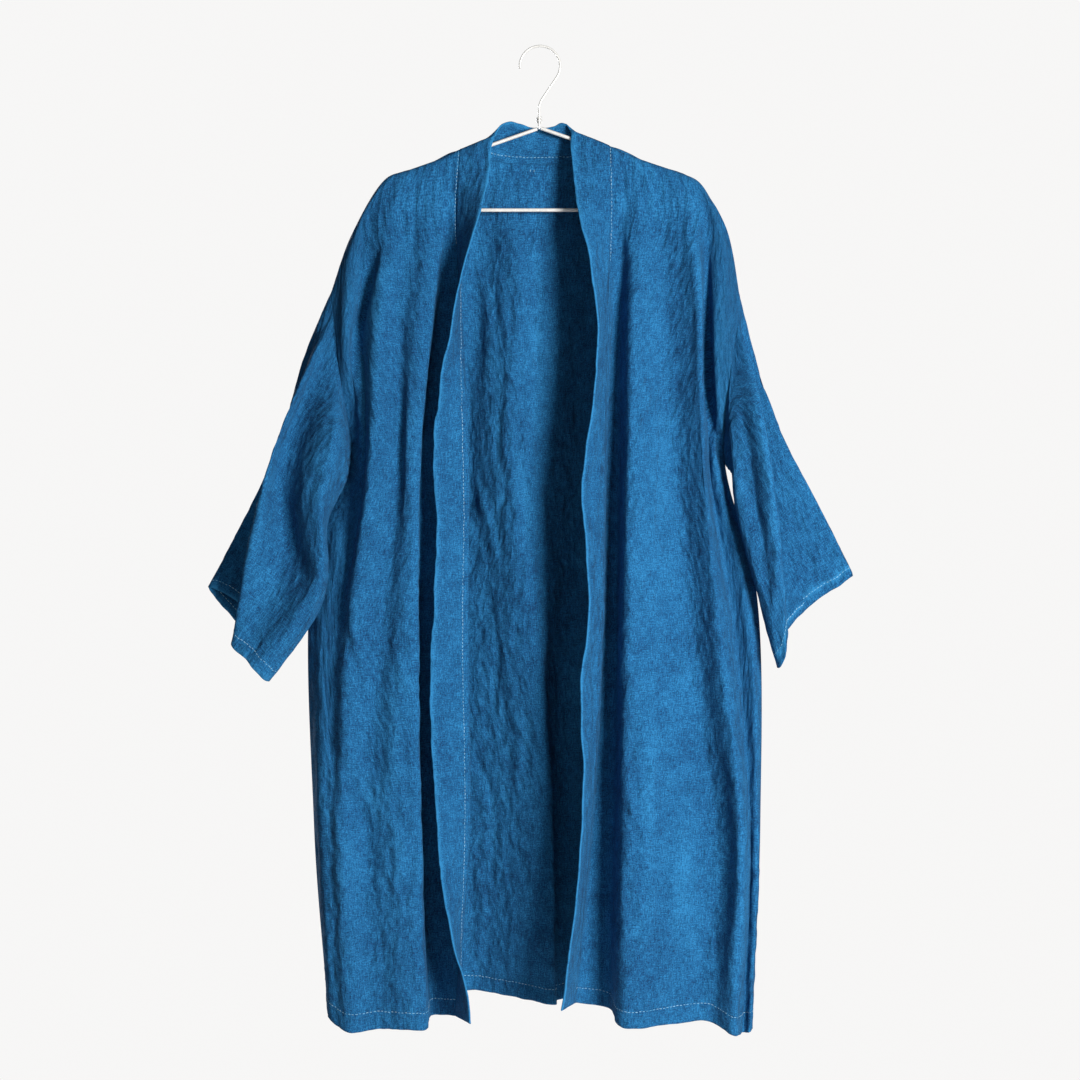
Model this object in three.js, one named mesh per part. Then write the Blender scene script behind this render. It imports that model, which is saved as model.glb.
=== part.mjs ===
// A long unlined linen haori hanging open on a thin wire hanger, in millimetres, +Z up.
// +X is the wearer's left, -Y is the front, and the origin is where the hook rests on its nail.
import * as THREE from "three";

// Driving dimensions
const wall = 1.6; // one layer of linen with the air in its crumple
const bandWall = 2.4; // the collar band is linen folded double
const seamGap = 0.3;
const wireRadius = 2.2;
const hookWireRadius = 1.4;
const hookRadius = 24.2; // to the centre of the wire
const armStart = -97; // height of the arms at the twist
const armSlope = 0.35;
const armReach = 166; // where an arm starts to turn down to the bar
const clothReach = 180; // where the shoulder line starts to fall
const cornerRadius = 19;
const endFall = 0.0245; // how fast the shoulder line falls past it, per mm squared
const hookArc = { from: 186, to: -34 }; // degrees round the hook's centre
const reverseBend = [[9, -50], [0, -63], [-1, -76]]; // x and z from the hook down to the stem
const stemPlace = -1;
const stemBelowArms = 1.5;
const stemEnd = armStart - stemBelowArms;
const barInset = 14; // the bar's ends meet the arms here, inside their reach
const cornerOut = 4; // the corner's centre past the arm's straight
const twistWire = { radius: 1, turns: 2, stepsPerTurn: 8, start: 6, rise: 0.42 };
const wireSides = 4; // curve segments of a wire's round
const wireSteps = { hook: 36, twist: 24, arm: 24 }; // rings along each wire
const arcSteps = { hook: 11, corner: 7 };
const armStations = [60, 120, armReach - 8, armReach]; // close together where the bend begins
const overWire = { out: 4.6, drop: 2.6, lift: 0.8 }; // how a panel rounds the arm under its shoulder line
const columnsPerFold = 2;

// Heights of the levels that the fold tables name; a row may give its own
const levelHeights = { yoke: -200, chest: -320, underarm: -500, waist: -700, thigh: -930 };
const at = (shoulder, yoke, chest, underarm, waist, thigh, hem) => [
  shoulder, yoke, chest, underarm, waist, thigh, hem,
];
const heights = (top, hem) => at(top, ...Object.values(levelHeights), hem);

// The shoulder line: straight on the hanger's arms, then falling off their ends to the armhole
const clothOnWire = (wireRadius + seamGap + wall / 2 + overWire.lift) * Math.hypot(1, armSlope);
const neckPoint = { right: -96, left: 83, rise: 3.2, spread: 14 }; // the collar seam lifts off the arm here
function shoulderHeight(x) {
  const reach = Math.abs(x);
  const fromNeck = (x - (x < 0 ? neckPoint.right : neckPoint.left)) / neckPoint.spread;
  const lifted = neckPoint.rise * Math.exp(-fromNeck * fromNeck);
  const onArm = armStart - armSlope * reach + clothOnWire;
  const past = Math.max(0, reach - clothReach);
  return onArm + lifted - endFall * past * past;
}

// Fold lines from the side seam to the collar seam, each with its x and y at the seven levels
const armholeDepth = {
  frontRight: at(0, -13, -16, 0, 0, 0, 0),
  frontLeft: at(0, -16, -27, 0, 0, 0, 0),
  back: at(0, 12, 15, 0, 0, 0, 0),
};
const sideRight = {
  x: at(-250, -246, -238, -228, -271, -271, -255),
  z: at(-294, -330, -400, -496, -610, -930, -1146),
};
const sideLeft = {
  x: at(241, 235, 225, 222, 259, 264, 254),
  z: at(-306, -340, -405, -500, -650, -930, -1173),
};
const frontRightFolds = [
  { fold: "armhole and side seam", ...sideRight, y: armholeDepth.frontRight },
  {
    fold: "ridge over the armhole",
    x: at(-226, -230, -228, -215, -254, -258, -248),
    y: at(0, -16, -30, -12, -18, -39, -36),
    z: at(-226, -262, -345, -500, -640, -930, -1160),
  },
  {
    fold: "drag from hanger end to armpit",
    x: at(-184, -203, -209, -206, -238, -246, -238),
    y: at(0, -8, -14, -18, -32, -44, -42),
    z: heights(shoulderHeight(-184), -1166),
  },
  {
    fold: "outer ridge",
    x: at(-160, -176, -188, -200, -224, -234, -224),
    y: at(0, -16, -38, -45, -50, -54, -52),
    z: heights(shoulderHeight(-160), -1171),
  },
  {
    fold: "shallow valley",
    x: at(-137, -150, -162, -166, -186, -204, -190),
    y: at(0, -12, -31, -37, -41, -43, -45),
    z: heights(shoulderHeight(-137), -1168),
  },
  {
    fold: "inner ridge",
    x: at(-119, -130, -143, -158, -164, -163, -152),
    y: at(0, -14, -38, -47, -51, -54, -56),
    z: heights(shoulderHeight(-119), -1167),
  },
  {
    fold: "turn edge",
    x: at(-108, -116, -128, -143, -145, -143, -135),
    y: at(0, -12, -34, -43, -47, -50, -51),
    z: heights(shoulderHeight(-108), -1168),
  },
  {
    fold: "channel behind the turn edge",
    x: at(-102, -109, -123, -143, -145, -142, -130),
    y: at(0, -8, -13, -9, -2, 3, 3),
    z: heights(shoulderHeight(-102), -1162),
  },
  {
    fold: "collar seam",
    x: at(-96, -100, -94, -85, -86, -84, -101),
    y: at(0, -9, -16, -16, -14, -13, -11),
    z: heights(shoulderHeight(-96), -1160),
  },
];
const frontLeftFolds = [
  { fold: "armhole and side seam", ...sideLeft, y: armholeDepth.frontLeft },
  {
    fold: "ridge over the armhole",
    x: at(218, 218, 212, 211, 246, 257, 249),
    y: at(0, -14, -22, -12, -17, -30, -28),
    z: at(-216, -262, -345, -500, -650, -930, -1176),
  },
  {
    fold: "armhole valley",
    x: at(191, 198, 200, 203, 232, 250, 243),
    y: at(0, -5, -6, -5, -13, -22, -20),
    z: heights(shoulderHeight(191), -1177),
  },
  {
    fold: "outer ridge",
    x: at(165, 176, 186, 193, 211, 235, 228),
    y: at(0, -15, -41, -48, -50, -56, -52),
    z: heights(shoulderHeight(165), -1175),
  },
  {
    fold: "long valley",
    x: at(132, 140, 150, 160, 180, 203, 200),
    y: at(0, -10, -22, -24, -27, -28, -31),
    z: heights(shoulderHeight(132), -1162),
  },
  {
    fold: "inner ridge",
    x: at(111, 115, 109, 106, 102, 100, 98),
    y: at(0, -15, -39, -51, -59, -62, -58),
    z: heights(shoulderHeight(111), -1164),
  },
  {
    fold: "valley floor",
    x: at(98, 101, 96, 93, 90, 86, 80),
    y: at(0, -10, -14, -11, -11, -11, -12),
    z: heights(shoulderHeight(98), -1150),
  },
  {
    fold: "behind the band",
    x: at(90, 92, 87, 82, 79, 65, 46),
    y: at(0, -11, -16, -13, -13, -13, -15),
    z: heights(shoulderHeight(90), -1144),
  },
  {
    fold: "collar seam",
    x: at(83, 84, 80, 76, 73, 60, 40),
    y: at(0, -14, -30, -36, -40, -46, -44),
    z: heights(shoulderHeight(83), -1138),
  },
];

// The back, from the right side seam to the left one. Its neck seam dips between the shoulders.
const neckSeam = { side: -134, middle: -137 };
const backFolds = [
  { fold: "right armhole and side seam", ...sideRight, y: armholeDepth.back },
  {
    fold: "bulge at the right armhole",
    x: at(-226, -230, -228, -211, -254, -258, -246),
    y: at(0, 12, 26, 12, 18, 22, 20),
    z: at(-226, -262, -345, -500, -640, -930, -1142),
  },
  {
    fold: "valley under the right hanger end",
    x: at(-182, -198, -204, -196, -228, -236, -226),
    y: at(0, 6, 8, 6, 6, 8, 8),
    z: heights(shoulderHeight(-182), -1140),
  },
  {
    fold: "right shoulder-blade bulge",
    x: at(-140, -146, -152, -160, -172, -186, -184),
    y: at(0, 14, 24, 26, 30, 30, 28),
    z: heights(shoulderHeight(-140), -1140),
  },
  {
    fold: "valley from the right neck point",
    x: at(-96, -102, -112, -120, -126, -128, -124),
    y: at(0, 10, 14, 14, 14, 14, 13),
    z: heights(shoulderHeight(-96), -1140),
  },
  {
    fold: "bulge right of the centre ridge",
    x: at(-55, -66, -80, -90, -92, -90, -80),
    y: at(14, 20, 29, 34, 36, 35, 33),
    z: heights(neckSeam.side, -1138),
  },
  {
    fold: "centre ridge",
    x: at(-18, -32, -36, -34, -8, 15, 18),
    y: at(18, 13, 5, 1, 0, -1, 1),
    z: heights(neckSeam.middle, -1150),
  },
  {
    fold: "turn left of the centre ridge",
    x: at(14, 20, 24, 20, 16, 14, 16),
    y: at(18, 17, 18, 20, 25, 27, 25),
    z: heights(neckSeam.middle, -1150),
  },
  {
    fold: "deep left fold",
    x: at(50, 56, 60, 54, 44, 38, 44),
    y: at(16, 20, 28, 32, 38, 40, 34),
    z: heights(neckSeam.side, -1146),
  },
  {
    fold: "valley from the left neck point",
    x: at(83, 94, 100, 100, 96, 92, 92),
    y: at(0, 10, 12, 10, 10, 8, 8),
    z: heights(shoulderHeight(83), -1145),
  },
  {
    fold: "left shoulder-blade bulge",
    x: at(132, 138, 142, 146, 150, 156, 150),
    y: at(0, 14, 24, 26, 30, 32, 30),
    z: heights(shoulderHeight(132), -1145),
  },
  {
    fold: "valley under the left hanger end",
    x: at(182, 188, 191, 192, 208, 218, 212),
    y: at(0, 6, 8, 6, 6, 8, 8),
    z: heights(shoulderHeight(182), -1145),
  },
  {
    fold: "bulge at the left armhole",
    x: at(221, 225, 222, 210, 240, 250, 243),
    y: at(0, 12, 24, 12, 18, 22, 20),
    z: at(-210, -262, -345, -500, -700, -930, -1145),
  },
  { fold: "left armhole and side seam", ...sideLeft, y: armholeDepth.back },
];
const neckFolds = { first: 4, last: 9 }; // the fold lines that end at the neck points

// The collar band's free edge: down each front by height, and round the neck by its seam's x
const rightBandEdge = [
  { height: -127, x: -55, y: -3, lift: 17 },
  { height: -132, x: -58, y: -9, lift: 10 },
  { height: -150, x: -61, y: -15, lift: 2 },
  { height: -198, x: -69, y: -38, lift: 0 },
  { height: -254, x: -86, y: -54, lift: 0 },
  { height: -302, x: -97, y: -57, lift: 0 },
  { height: -347, x: -106, y: -56, lift: 0 },
  { height: -389, x: -115, y: -51, lift: 0 },
  { height: -431, x: -120, y: -44, lift: 0 },
  { height: -492, x: -126, y: -36, lift: 0 },
  { height: -582, x: -122, y: -40, lift: 0 },
  { height: -780, x: -130, y: -36, lift: 0 },
  { height: -890, x: -124, y: -40, lift: 0 },
  { height: -975, x: -118, y: -48, lift: 0 },
  { height: -1020, x: -111, y: -54, lift: 0 },
  { height: -1060, x: -103, y: -58, lift: 0 },
  { height: -1100, x: -91, y: -58, lift: 0 },
  { height: -1160, x: -82, y: -54, lift: 0 },
];
const leftBandEdge = [
  { height: -122, x: 38, y: -3, lift: 18 },
  { height: -128, x: 37, y: -10, lift: 10 },
  { height: -144, x: 39, y: -15, lift: 4 },
  { height: -173, x: 42, y: -22, lift: 0 },
  { height: -212, x: 47, y: -40, lift: 0 },
  { height: -264, x: 59, y: -59, lift: 0 },
  { height: -323, x: 66, y: -69, lift: 0 },
  { height: -376, x: 67, y: -72, lift: 0 },
  { height: -428, x: 62, y: -73, lift: 0 },
  { height: -520, x: 50, y: -69, lift: 0 },
  { height: -582, x: 52, y: -75, lift: 0 },
  { height: -675, x: 57, y: -80, lift: 0 },
  { height: -762, x: 48, y: -80, lift: 0 },
  { height: -867, x: 50, y: -86, lift: 0 },
  { height: -938, x: 48, y: -88, lift: 0 },
  { height: -1010, x: 42, y: -87, lift: 0 },
  { height: -1138, x: 25, y: -85, lift: 0 },
];
const neckBandEdge = [
  { seamX: -96, x: -55, y: -3, z: -110 },
  { seamX: -75, x: -47, y: 3, z: -94 },
  { seamX: -55, x: -34, y: 8, z: -89 },
  { seamX: -18, x: -4, y: 12, z: -96 },
  { seamX: 14, x: 14, y: 11, z: -94 },
  { seamX: 50, x: 28, y: 8, z: -90 },
  { seamX: 68, x: 33, y: 5, z: -94 },
  { seamX: 83, x: 38, y: -3, z: -104 },
];

// Sleeves: lines from the armhole to the cuff, round from the top fold over the front to the underarm
const along = (upper, elbow, forearm, cuff) => [upper, elbow, forearm, cuff];
const rightSleeveLines = {
  front: [
    {
      fold: "top fold",
      x: along(-281, -312, -354, -400),
      y: along(4, 8, 12, 14),
      z: along(-366, -472, -563, -648),
    },
    {
      fold: "valley",
      x: along(-280, -309, -323, -350),
      y: along(-10, -6, 4, 6),
      z: along(-388, -486, -582, -678),
    },
    {
      fold: "ridge",
      x: along(-279, -316, -338, -366),
      y: along(-28, -40, -46, -36),
      z: along(-394, -489, -588, -714),
    },
    {
      fold: "hollow",
      x: along(-280, -308, -302, -352),
      y: along(-18, -25, -31, -42),
      z: along(-430, -508, -616, -728),
    },
    {
      fold: "lower ridge",
      x: along(-240, -256, -262, -334),
      y: along(-48, -62, -62, -46),
      z: along(-460, -545, -646, -748),
    },
    {
      fold: "underarm",
      x: along(-231, -254, -258, -321),
      y: along(-9, -23, -30, -30),
      z: along(-517, -572, -664, -759),
    },
  ],
  back: [
    {
      fold: "back of the underarm",
      x: along(-254, -276, -306, -337),
      y: along(16, 10, 2, -8),
      z: along(-472, -544, -646, -726),
    },
    {
      fold: "back bulge",
      x: along(-266, -298, -342, -370),
      y: along(24, 28, 26, 24),
      z: along(-418, -508, -598, -688),
    },
  ],
};
const leftSleeveLines = {
  front: [
    {
      fold: "top fold",
      x: along(264, 295, 337, 378),
      y: along(4, 8, 12, 14),
      z: along(-390, -472, -553, -634),
    },
    {
      fold: "valley",
      x: along(243, 256, 268, 286),
      y: along(-2, 4, 8, 8),
      z: along(-412, -500, -600, -698),
    },
    {
      fold: "ridge",
      x: along(256, 271, 281, 293),
      y: along(-46, -53, -50, -38),
      z: along(-414, -502, -598, -702),
    },
    {
      fold: "hollow",
      x: along(232, 250, 266, 289),
      y: along(-35, -42, -47, -44),
      z: along(-436, -520, -616, -730),
    },
    {
      fold: "lower ridge",
      x: along(226, 234, 254, 284),
      y: along(-30, -36, -40, -36),
      z: along(-462, -536, -630, -742),
    },
    {
      fold: "underarm",
      x: along(234, 243, 264, 283),
      y: along(-11, -16, -16, -20),
      z: along(-518, -580, -664, -742),
    },
  ],
  back: [
    {
      fold: "back of the underarm",
      x: along(248, 262, 278, 292),
      y: along(16, 8, 2, -4),
      z: along(-478, -548, -638, -706),
    },
    {
      fold: "back bulge",
      x: along(252, 284, 312, 336),
      y: along(24, 28, 26, 22),
      z: along(-440, -518, -596, -663),
    },
  ],
};

// Mesh rows between the levels, finer round the armhole, where the sleeve's ring meets the panel
const frontRows = [1, 4, 4, 3, 3, 3, 3];
const backRows = [1, 2, 2, 2, 3, 3, 3];
const underarmLevel = 4;
const sleeveRows = [2, 3, 3, 3];

const range = (start, end) => Array.from({ length: end - start + 1 }, (_, step) => start + step);
const spline = (points, closed = false) => new THREE.CatmullRomCurve3(points, closed, "centripetal");

// Places in a spline's own parameter, splitting the span after each control point
function splitSpans(counts) {
  const places = [0];
  counts.forEach((count, span) => {
    for (let step = 1; step <= count; step += 1) {
      places.push((span + step / count) / counts.length);
    }
  });
  return places;
}

const sum = (counts) => counts.reduce((total, count) => total + count, 0);
const frontArmRow = sum(frontRows.slice(0, underarmLevel));
const backArmRow = sum(backRows.slice(0, underarmLevel));

// A sheet is a grid of middle points, rows down the cloth and columns across it
function panelSheet(folds, rowCounts, facing) {
  const lines = folds.map((row) => {
    const points = row.x.map((x, level) => new THREE.Vector3(x, row.y[level], row.z[level]));
    const [top] = points;
    const out = top.y === 0 ? overWire.out * facing : 0;
    points.splice(1, 0, new THREE.Vector3(top.x, top.y + out, top.z - overWire.drop));
    return spline(points);
  });
  const acrossPlaces = splitSpans(new Array(folds.length - 1).fill(columnsPerFold));
  const rows = splitSpans(rowCounts).map((down) => {
    const across = spline(lines.map((line) => line.getPoint(down)));
    return acrossPlaces.map((place) => across.getPoint(place));
  });
  rows[0].forEach((point) => {
    point.y = facing * Math.max(0, point.y * facing);
  });
  rows[1].forEach((point) => {
    point.y = facing * Math.max(overWire.out, point.y * facing);
  });
  return { rows, thickness: wall, closed: false };
}

// Below the armpit a front and the back end on one line
function shareSideSeam(front, back, backColumn) {
  for (let row = frontArmRow; row < front.rows.length; row += 1) {
    const ours = front.rows[row][0];
    const theirs = back.rows[row - frontArmRow + backArmRow][backColumn];
    ours.lerp(theirs, 0.5);
    theirs.copy(ours);
  }
}

// Value of a table's column at a key, on a smooth curve through its rows
function tableValue(rows, key, column, place) {
  const ahead = Math.sign(rows[1][key] - rows[0][key]);
  const found = rows.findIndex((row) => (row[key] - place) * ahead >= 0);
  const next = found < 0 ? rows.length - 1 : Math.max(found, 1);
  const [before, after] = [rows[next - 1], rows[next]];
  const share = THREE.MathUtils.clamp((place - before[key]) / (after[key] - before[key]), 0, 1);
  const slopeAt = (index) => {
    const low = rows[Math.max(index - 1, 0)];
    const high = rows[Math.min(index + 1, rows.length - 1)];
    return (high[column] - low[column]) / (high[key] - low[key]);
  };
  const width = after[key] - before[key];
  const square = share * share;
  const cube = square * share;
  return (
    before[column] * (2 * cube - 3 * square + 1) +
    after[column] * (3 * square - 2 * cube) +
    slopeAt(next - 1) * width * (cube - 2 * square + share) +
    slopeAt(next) * width * (cube - square)
  );
}

// A sleeve is a closed sheet. Its first ring is the armhole, station by station.
function sleeveSheet(lines, front, back) {
  const armhole = front.rows.slice(0, frontArmRow + 1).map((row) => row[0].clone());
  const backColumn = front.rows[0][0].x < 0 ? 0 : back.rows[0].length - 1;
  const upBack = back.rows.slice(1, backArmRow).reverse();
  armhole.push(...upBack.map((row) => row[backColumn].clone()));
  const frontSpan = lines.front.length - 1;
  const controls = [...lines.front, ...lines.back];
  const places = armhole.map((_, station) => {
    const control =
      station <= frontArmRow
        ? (station / frontArmRow) * frontSpan
        : frontSpan + ((station - frontArmRow) / backArmRow) * (lines.back.length + 1);
    return control / controls.length;
  });
  const levels = range(0, 3).map((level) => {
    const corners = controls.map((row) => new THREE.Vector3(row.x[level], row.y[level], row.z[level]));
    const ring = spline(corners, true);
    return places.map((place) => ring.getPoint(place));
  });
  const runs = armhole.map((start, station) => spline([start, ...levels.map((ring) => ring[station])]));
  const rows = splitSpans(sleeveRows).map((down) => runs.map((run) => run.getPoint(down)));
  return { rows, thickness: wall, closed: true };
}

// The collar band runs from the right hem round the neck to the left hem, on the panels' own edges
function collarSheet(right, left, back) {
  const seamOf = (panel) => panel.rows.map((row) => row[row.length - 1]);
  const frontRow = (seam, table) => {
    const column = (name) => tableValue(table, "height", name, seam.z);
    return [seam, new THREE.Vector3(column("x"), column("y"), seam.z + column("lift"))];
  };
  const neckRow = (seam) => {
    const column = (name) => tableValue(neckBandEdge, "seamX", name, seam.x);
    return [seam, new THREE.Vector3(column("x"), column("y"), column("z"))];
  };
  const neck = back.rows[0].slice(neckFolds.first * columnsPerFold + 1, neckFolds.last * columnsPerFold);
  const stations = [
    ...seamOf(right).reverse().map((seam) => frontRow(seam, rightBandEdge)),
    ...neck.map(neckRow),
    ...seamOf(left).map((seam) => frontRow(seam, leftBandEdge)),
  ];
  const rows = stations.map(([seam, edge]) => [seam.clone(), seam.clone().lerp(edge, 0.5), edge]);
  return { rows, thickness: bandWall, closed: false };
}

// The grid point next to a seam's point, further into its sheet
const insideOf = ({ sheet, row, column, insideRow, insideColumn }) =>
  sheet.rows[insideRow ?? row][insideColumn ?? column].clone();

// Two sheets that share a line of points part by the seam gap, with their edges cut parallel
function joinSeam(pairs) {
  const plans = pairs.map(({ one, other }, index) => {
    const point = one.sheet.rows[one.row][one.column];
    const before = pairs[Math.max(index - 1, 0)].one;
    const after = pairs[Math.min(index + 1, pairs.length - 1)].one;
    const run = after.sheet.rows[after.row][after.column].clone();
    run.sub(before.sheet.rows[before.row][before.column]).normalize();
    const arriving = point.clone().sub(insideOf(one));
    const leaving = insideOf(other).sub(point);
    arriving.addScaledVector(run, -arriving.dot(run)).normalize();
    leaving.addScaledVector(run, -leaving.dot(run)).normalize();
    const passing = arriving.clone().add(leaving).normalize();
    const facing = run.clone().cross(passing).normalize();
    const gap = seamGap * (1.5 - 0.5 * arriving.dot(leaving));
    return { one, other, passing, facing, gap };
  });
  plans.forEach(({ one, other, passing, facing, gap }) => {
    [[one, -0.5], [other, 0.5]].forEach(([side, share]) => {
      const shift = passing.clone().multiplyScalar(share * gap);
      side.sheet.seams ??= [];
      side.sheet.seams.push({ row: side.row, column: side.column, shift, facing });
    });
  });
}

// Unit normals of a sheet's middle surface, from its neighbours in the grid
function middleNormals({ rows, closed }) {
  const width = rows[0].length;
  return rows.map((row, i) =>
    row.map((_, j) => {
      const up = rows[Math.max(i - 1, 0)][j];
      const down = rows[Math.min(i + 1, rows.length - 1)][j];
      const left = closed ? row[(j + width - 1) % width] : row[Math.max(j - 1, 0)];
      const right = closed ? row[(j + 1) % width] : row[Math.min(j + 1, width - 1)];
      return down.clone().sub(up).cross(right.clone().sub(left)).normalize();
    }),
  );
}

// The closed wall round a sheet: both faces and the edges between them
function sheetGeometry(sheet) {
  const normals = middleNormals(sheet);
  const seamNormals = new Map();
  (sheet.seams ?? []).forEach(({ row, column, shift, facing }) => {
    sheet.rows[row][column].add(shift);
    const normal = normals[row][column];
    const turned = facing.clone().multiplyScalar(Math.sign(facing.dot(normal)) || 1);
    const key = `${row} ${column}`;
    seamNormals.set(key, (seamNormals.get(key) ?? new THREE.Vector3()).add(turned));
    normal.copy(seamNormals.get(key)).normalize();
  });
  const height = sheet.rows.length;
  const width = sheet.rows[0].length;
  const positions = [];
  [1, -1].forEach((side) => {
    sheet.rows.forEach((row, i) =>
      row.forEach((point, j) => {
        positions.push(...point.clone().addScaledVector(normals[i][j], (side * sheet.thickness) / 2));
      }),
    );
  });
  const place = (side, i, j) => side * height * width + i * width + (j % width);
  const index = [];
  const quad = (a, b, c, d) => index.push(a, b, c, a, c, d);
  const spans = sheet.closed ? width : width - 1;
  for (let i = 0; i < height - 1; i += 1) {
    for (let j = 0; j < spans; j += 1) {
      quad(place(0, i, j), place(0, i + 1, j), place(0, i + 1, j + 1), place(0, i, j + 1));
      quad(place(1, i, j), place(1, i, j + 1), place(1, i + 1, j + 1), place(1, i + 1, j));
    }
    if (!sheet.closed) {
      const end = width - 1;
      quad(place(0, i, 0), place(1, i, 0), place(1, i + 1, 0), place(0, i + 1, 0));
      quad(place(0, i, end), place(0, i + 1, end), place(1, i + 1, end), place(1, i, end));
    }
  }
  const last = height - 1;
  for (let j = 0; j < spans; j += 1) {
    quad(place(0, 0, j), place(0, 0, j + 1), place(1, 0, j + 1), place(1, 0, j));
    quad(place(0, last, j), place(1, last, j), place(1, last, j + 1), place(0, last, j + 1));
  }
  const geometry = new THREE.BufferGeometry();
  geometry.setAttribute("position", new THREE.Float32BufferAttribute(positions, 3));
  geometry.setIndex(index);
  return facesOut(geometry);
}

// Turns every face over if the closed body reads inside out
function facesOut(geometry) {
  const points = geometry.attributes.position;
  const index = geometry.index.array;
  const corner = [new THREE.Vector3(), new THREE.Vector3(), new THREE.Vector3()];
  let volume = 0;
  for (let face = 0; face < index.length; face += 3) {
    corner.forEach((point, which) => point.fromBufferAttribute(points, index[face + which]));
    volume += corner[0].dot(corner[1].clone().cross(corner[2]));
  }
  if (volume < 0) {
    for (let face = 0; face < index.length; face += 3) {
      [index[face], index[face + 1]] = [index[face + 1], index[face]];
    }
  }
  geometry.computeVertexNormals();
  return geometry;
}

// The panels, the sleeves and the collar, before their seams part them
const frontRight = panelSheet(frontRightFolds, frontRows, -1);
const frontLeft = panelSheet(frontLeftFolds, frontRows, -1);
const back = panelSheet(backFolds, backRows, 1);
shareSideSeam(frontRight, back, 0);
shareSideSeam(frontLeft, back, back.rows[0].length - 1);
const sleeveRight = sleeveSheet(rightSleeveLines, frontRight, back);
const sleeveLeft = sleeveSheet(leftSleeveLines, frontLeft, back);
const collar = collarSheet(frontRight, frontLeft, back);

// Side seams, armholes, collar seams and the neck seam
const lastColumn = back.rows[0].length - 1;
const frontEnd = frontRight.rows.length - 1;

function joinSides(front, sleeve, backColumn) {
  const backInside = backColumn === 0 ? 1 : backColumn - 1;
  const ringSize = sleeve.rows[0].length;
  const backEdge = (row) => ({ sheet: back, row, column: backColumn, insideColumn: backInside });
  joinSeam(
    range(frontArmRow, frontEnd).map((row) => ({
      one: { sheet: front, row, column: 0, insideColumn: 1 },
      other: backEdge(row - frontArmRow + backArmRow),
    })),
  );
  joinSeam(
    range(0, frontArmRow).map((row) => ({
      one: { sheet: front, row, column: 0, insideColumn: 1 },
      other: { sheet: sleeve, row: 0, column: row, insideRow: 1 },
    })),
  );
  joinSeam(
    range(0, backArmRow).map((row) => ({
      one: backEdge(row),
      other: { sheet: sleeve, row: 0, column: (ringSize - row) % ringSize, insideRow: 1 },
    })),
  );
}
joinSides(frontRight, sleeveRight, 0);
joinSides(frontLeft, sleeveLeft, lastColumn);

const frontLast = frontRight.rows[0].length - 1;
const frontLeftLast = frontLeft.rows[0].length - 1;
const neckCount = (neckFolds.last - neckFolds.first) * columnsPerFold - 1;
joinSeam(
  range(0, frontEnd).map((row) => ({
    one: { sheet: frontRight, row, column: frontLast, insideColumn: frontLast - 1 },
    other: { sheet: collar, row: frontEnd - row, column: 0, insideColumn: 1 },
  })),
);
joinSeam(
  range(0, neckCount + 1).map((step) => ({
    one: { sheet: back, row: 0, column: neckFolds.first * columnsPerFold + step, insideRow: 1 },
    other: { sheet: collar, row: frontEnd + step, column: 0, insideColumn: 1 },
  })),
);
joinSeam(
  range(0, frontEnd).map((row) => ({
    one: { sheet: frontLeft, row, column: frontLeftLast, insideColumn: frontLeftLast - 1 },
    other: { sheet: collar, row: frontEnd + 1 + neckCount + row, column: 0, insideColumn: 1 },
  })),
);

// Shoulder seams lie in the plane of the hanger, so the fronts and the back part along Y there
function partShoulder(sheet, columns, share) {
  sheet.seams ??= [];
  columns.forEach((column) => {
    const across = sheet.rows[0][Math.min(column + 1, sheet.rows[0].length - 1)].clone();
    across.sub(sheet.rows[0][Math.max(column - 1, 0)]);
    const facing = new THREE.Vector3(0, 1, 0).cross(across).normalize();
    sheet.seams.push({ row: 0, column, shift: new THREE.Vector3(0, share * seamGap, 0), facing });
  });
}
partShoulder(frontRight, range(0, frontLast), -0.5);
partShoulder(frontLeft, range(0, frontLeftLast), -0.5);
partShoulder(back, range(0, neckFolds.first * columnsPerFold), 0.5);
partShoulder(back, range(neckFolds.last * columnsPerFold, lastColumn), 0.5);

// Wire of round section along a smooth path
function wireGeometry(points, radius, steps) {
  const section = new THREE.Shape();
  section.absarc(0, 0, radius, 0, Math.PI * 2);
  return new THREE.ExtrudeGeometry(section, {
    steps,
    curveSegments: wireSides,
    bevelEnabled: false,
    extrudePath: spline(points),
  });
}

const flat = (x, z) => new THREE.Vector3(x, 0, z);
const arc = (x, z, radius, from, to, count) =>
  range(0, count).map((step) => {
    const angle = THREE.MathUtils.degToRad(from + ((to - from) * step) / count);
    return flat(x + radius * Math.cos(angle), z + radius * Math.sin(angle));
  });

// The hook: an open arc over the nail, then a reverse bend down to the twist
const hookCentre = hookWireRadius - hookRadius;
const hookPath = [
  ...arc(0, hookCentre, hookRadius, hookArc.from, hookArc.to, arcSteps.hook),
  ...reverseBend.map(([x, z]) => flat(x, z)),
  flat(stemPlace, stemEnd),
];

// The arms start beside the stem, run down from the twist and turn under at their ends to the bar
const slopeAngle = THREE.MathUtils.radToDeg(Math.atan(armSlope));
const cornerLift = cornerRadius * Math.hypot(1, armSlope);
const cornerTop = armStart - armSlope * (armReach + cornerOut) - cornerLift;
const barHeight = cornerTop - cornerRadius;
const besideStem = hookWireRadius + seamGap + wireRadius * Math.sin(Math.atan(armSlope));
function armPath(side) {
  const end = 90 - slopeAngle;
  const corner = arc(armReach + cornerOut, cornerTop, cornerRadius, end, -90, arcSteps.corner);
  const start = besideStem + stemPlace * side;
  const slope = [start, ...armStations].map((x) => flat(x, armStart - armSlope * x));
  const path = [...slope, ...corner, flat(armReach - barInset, barHeight)];
  return path.map((point) => flat(point.x * side, point.z));
}

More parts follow.
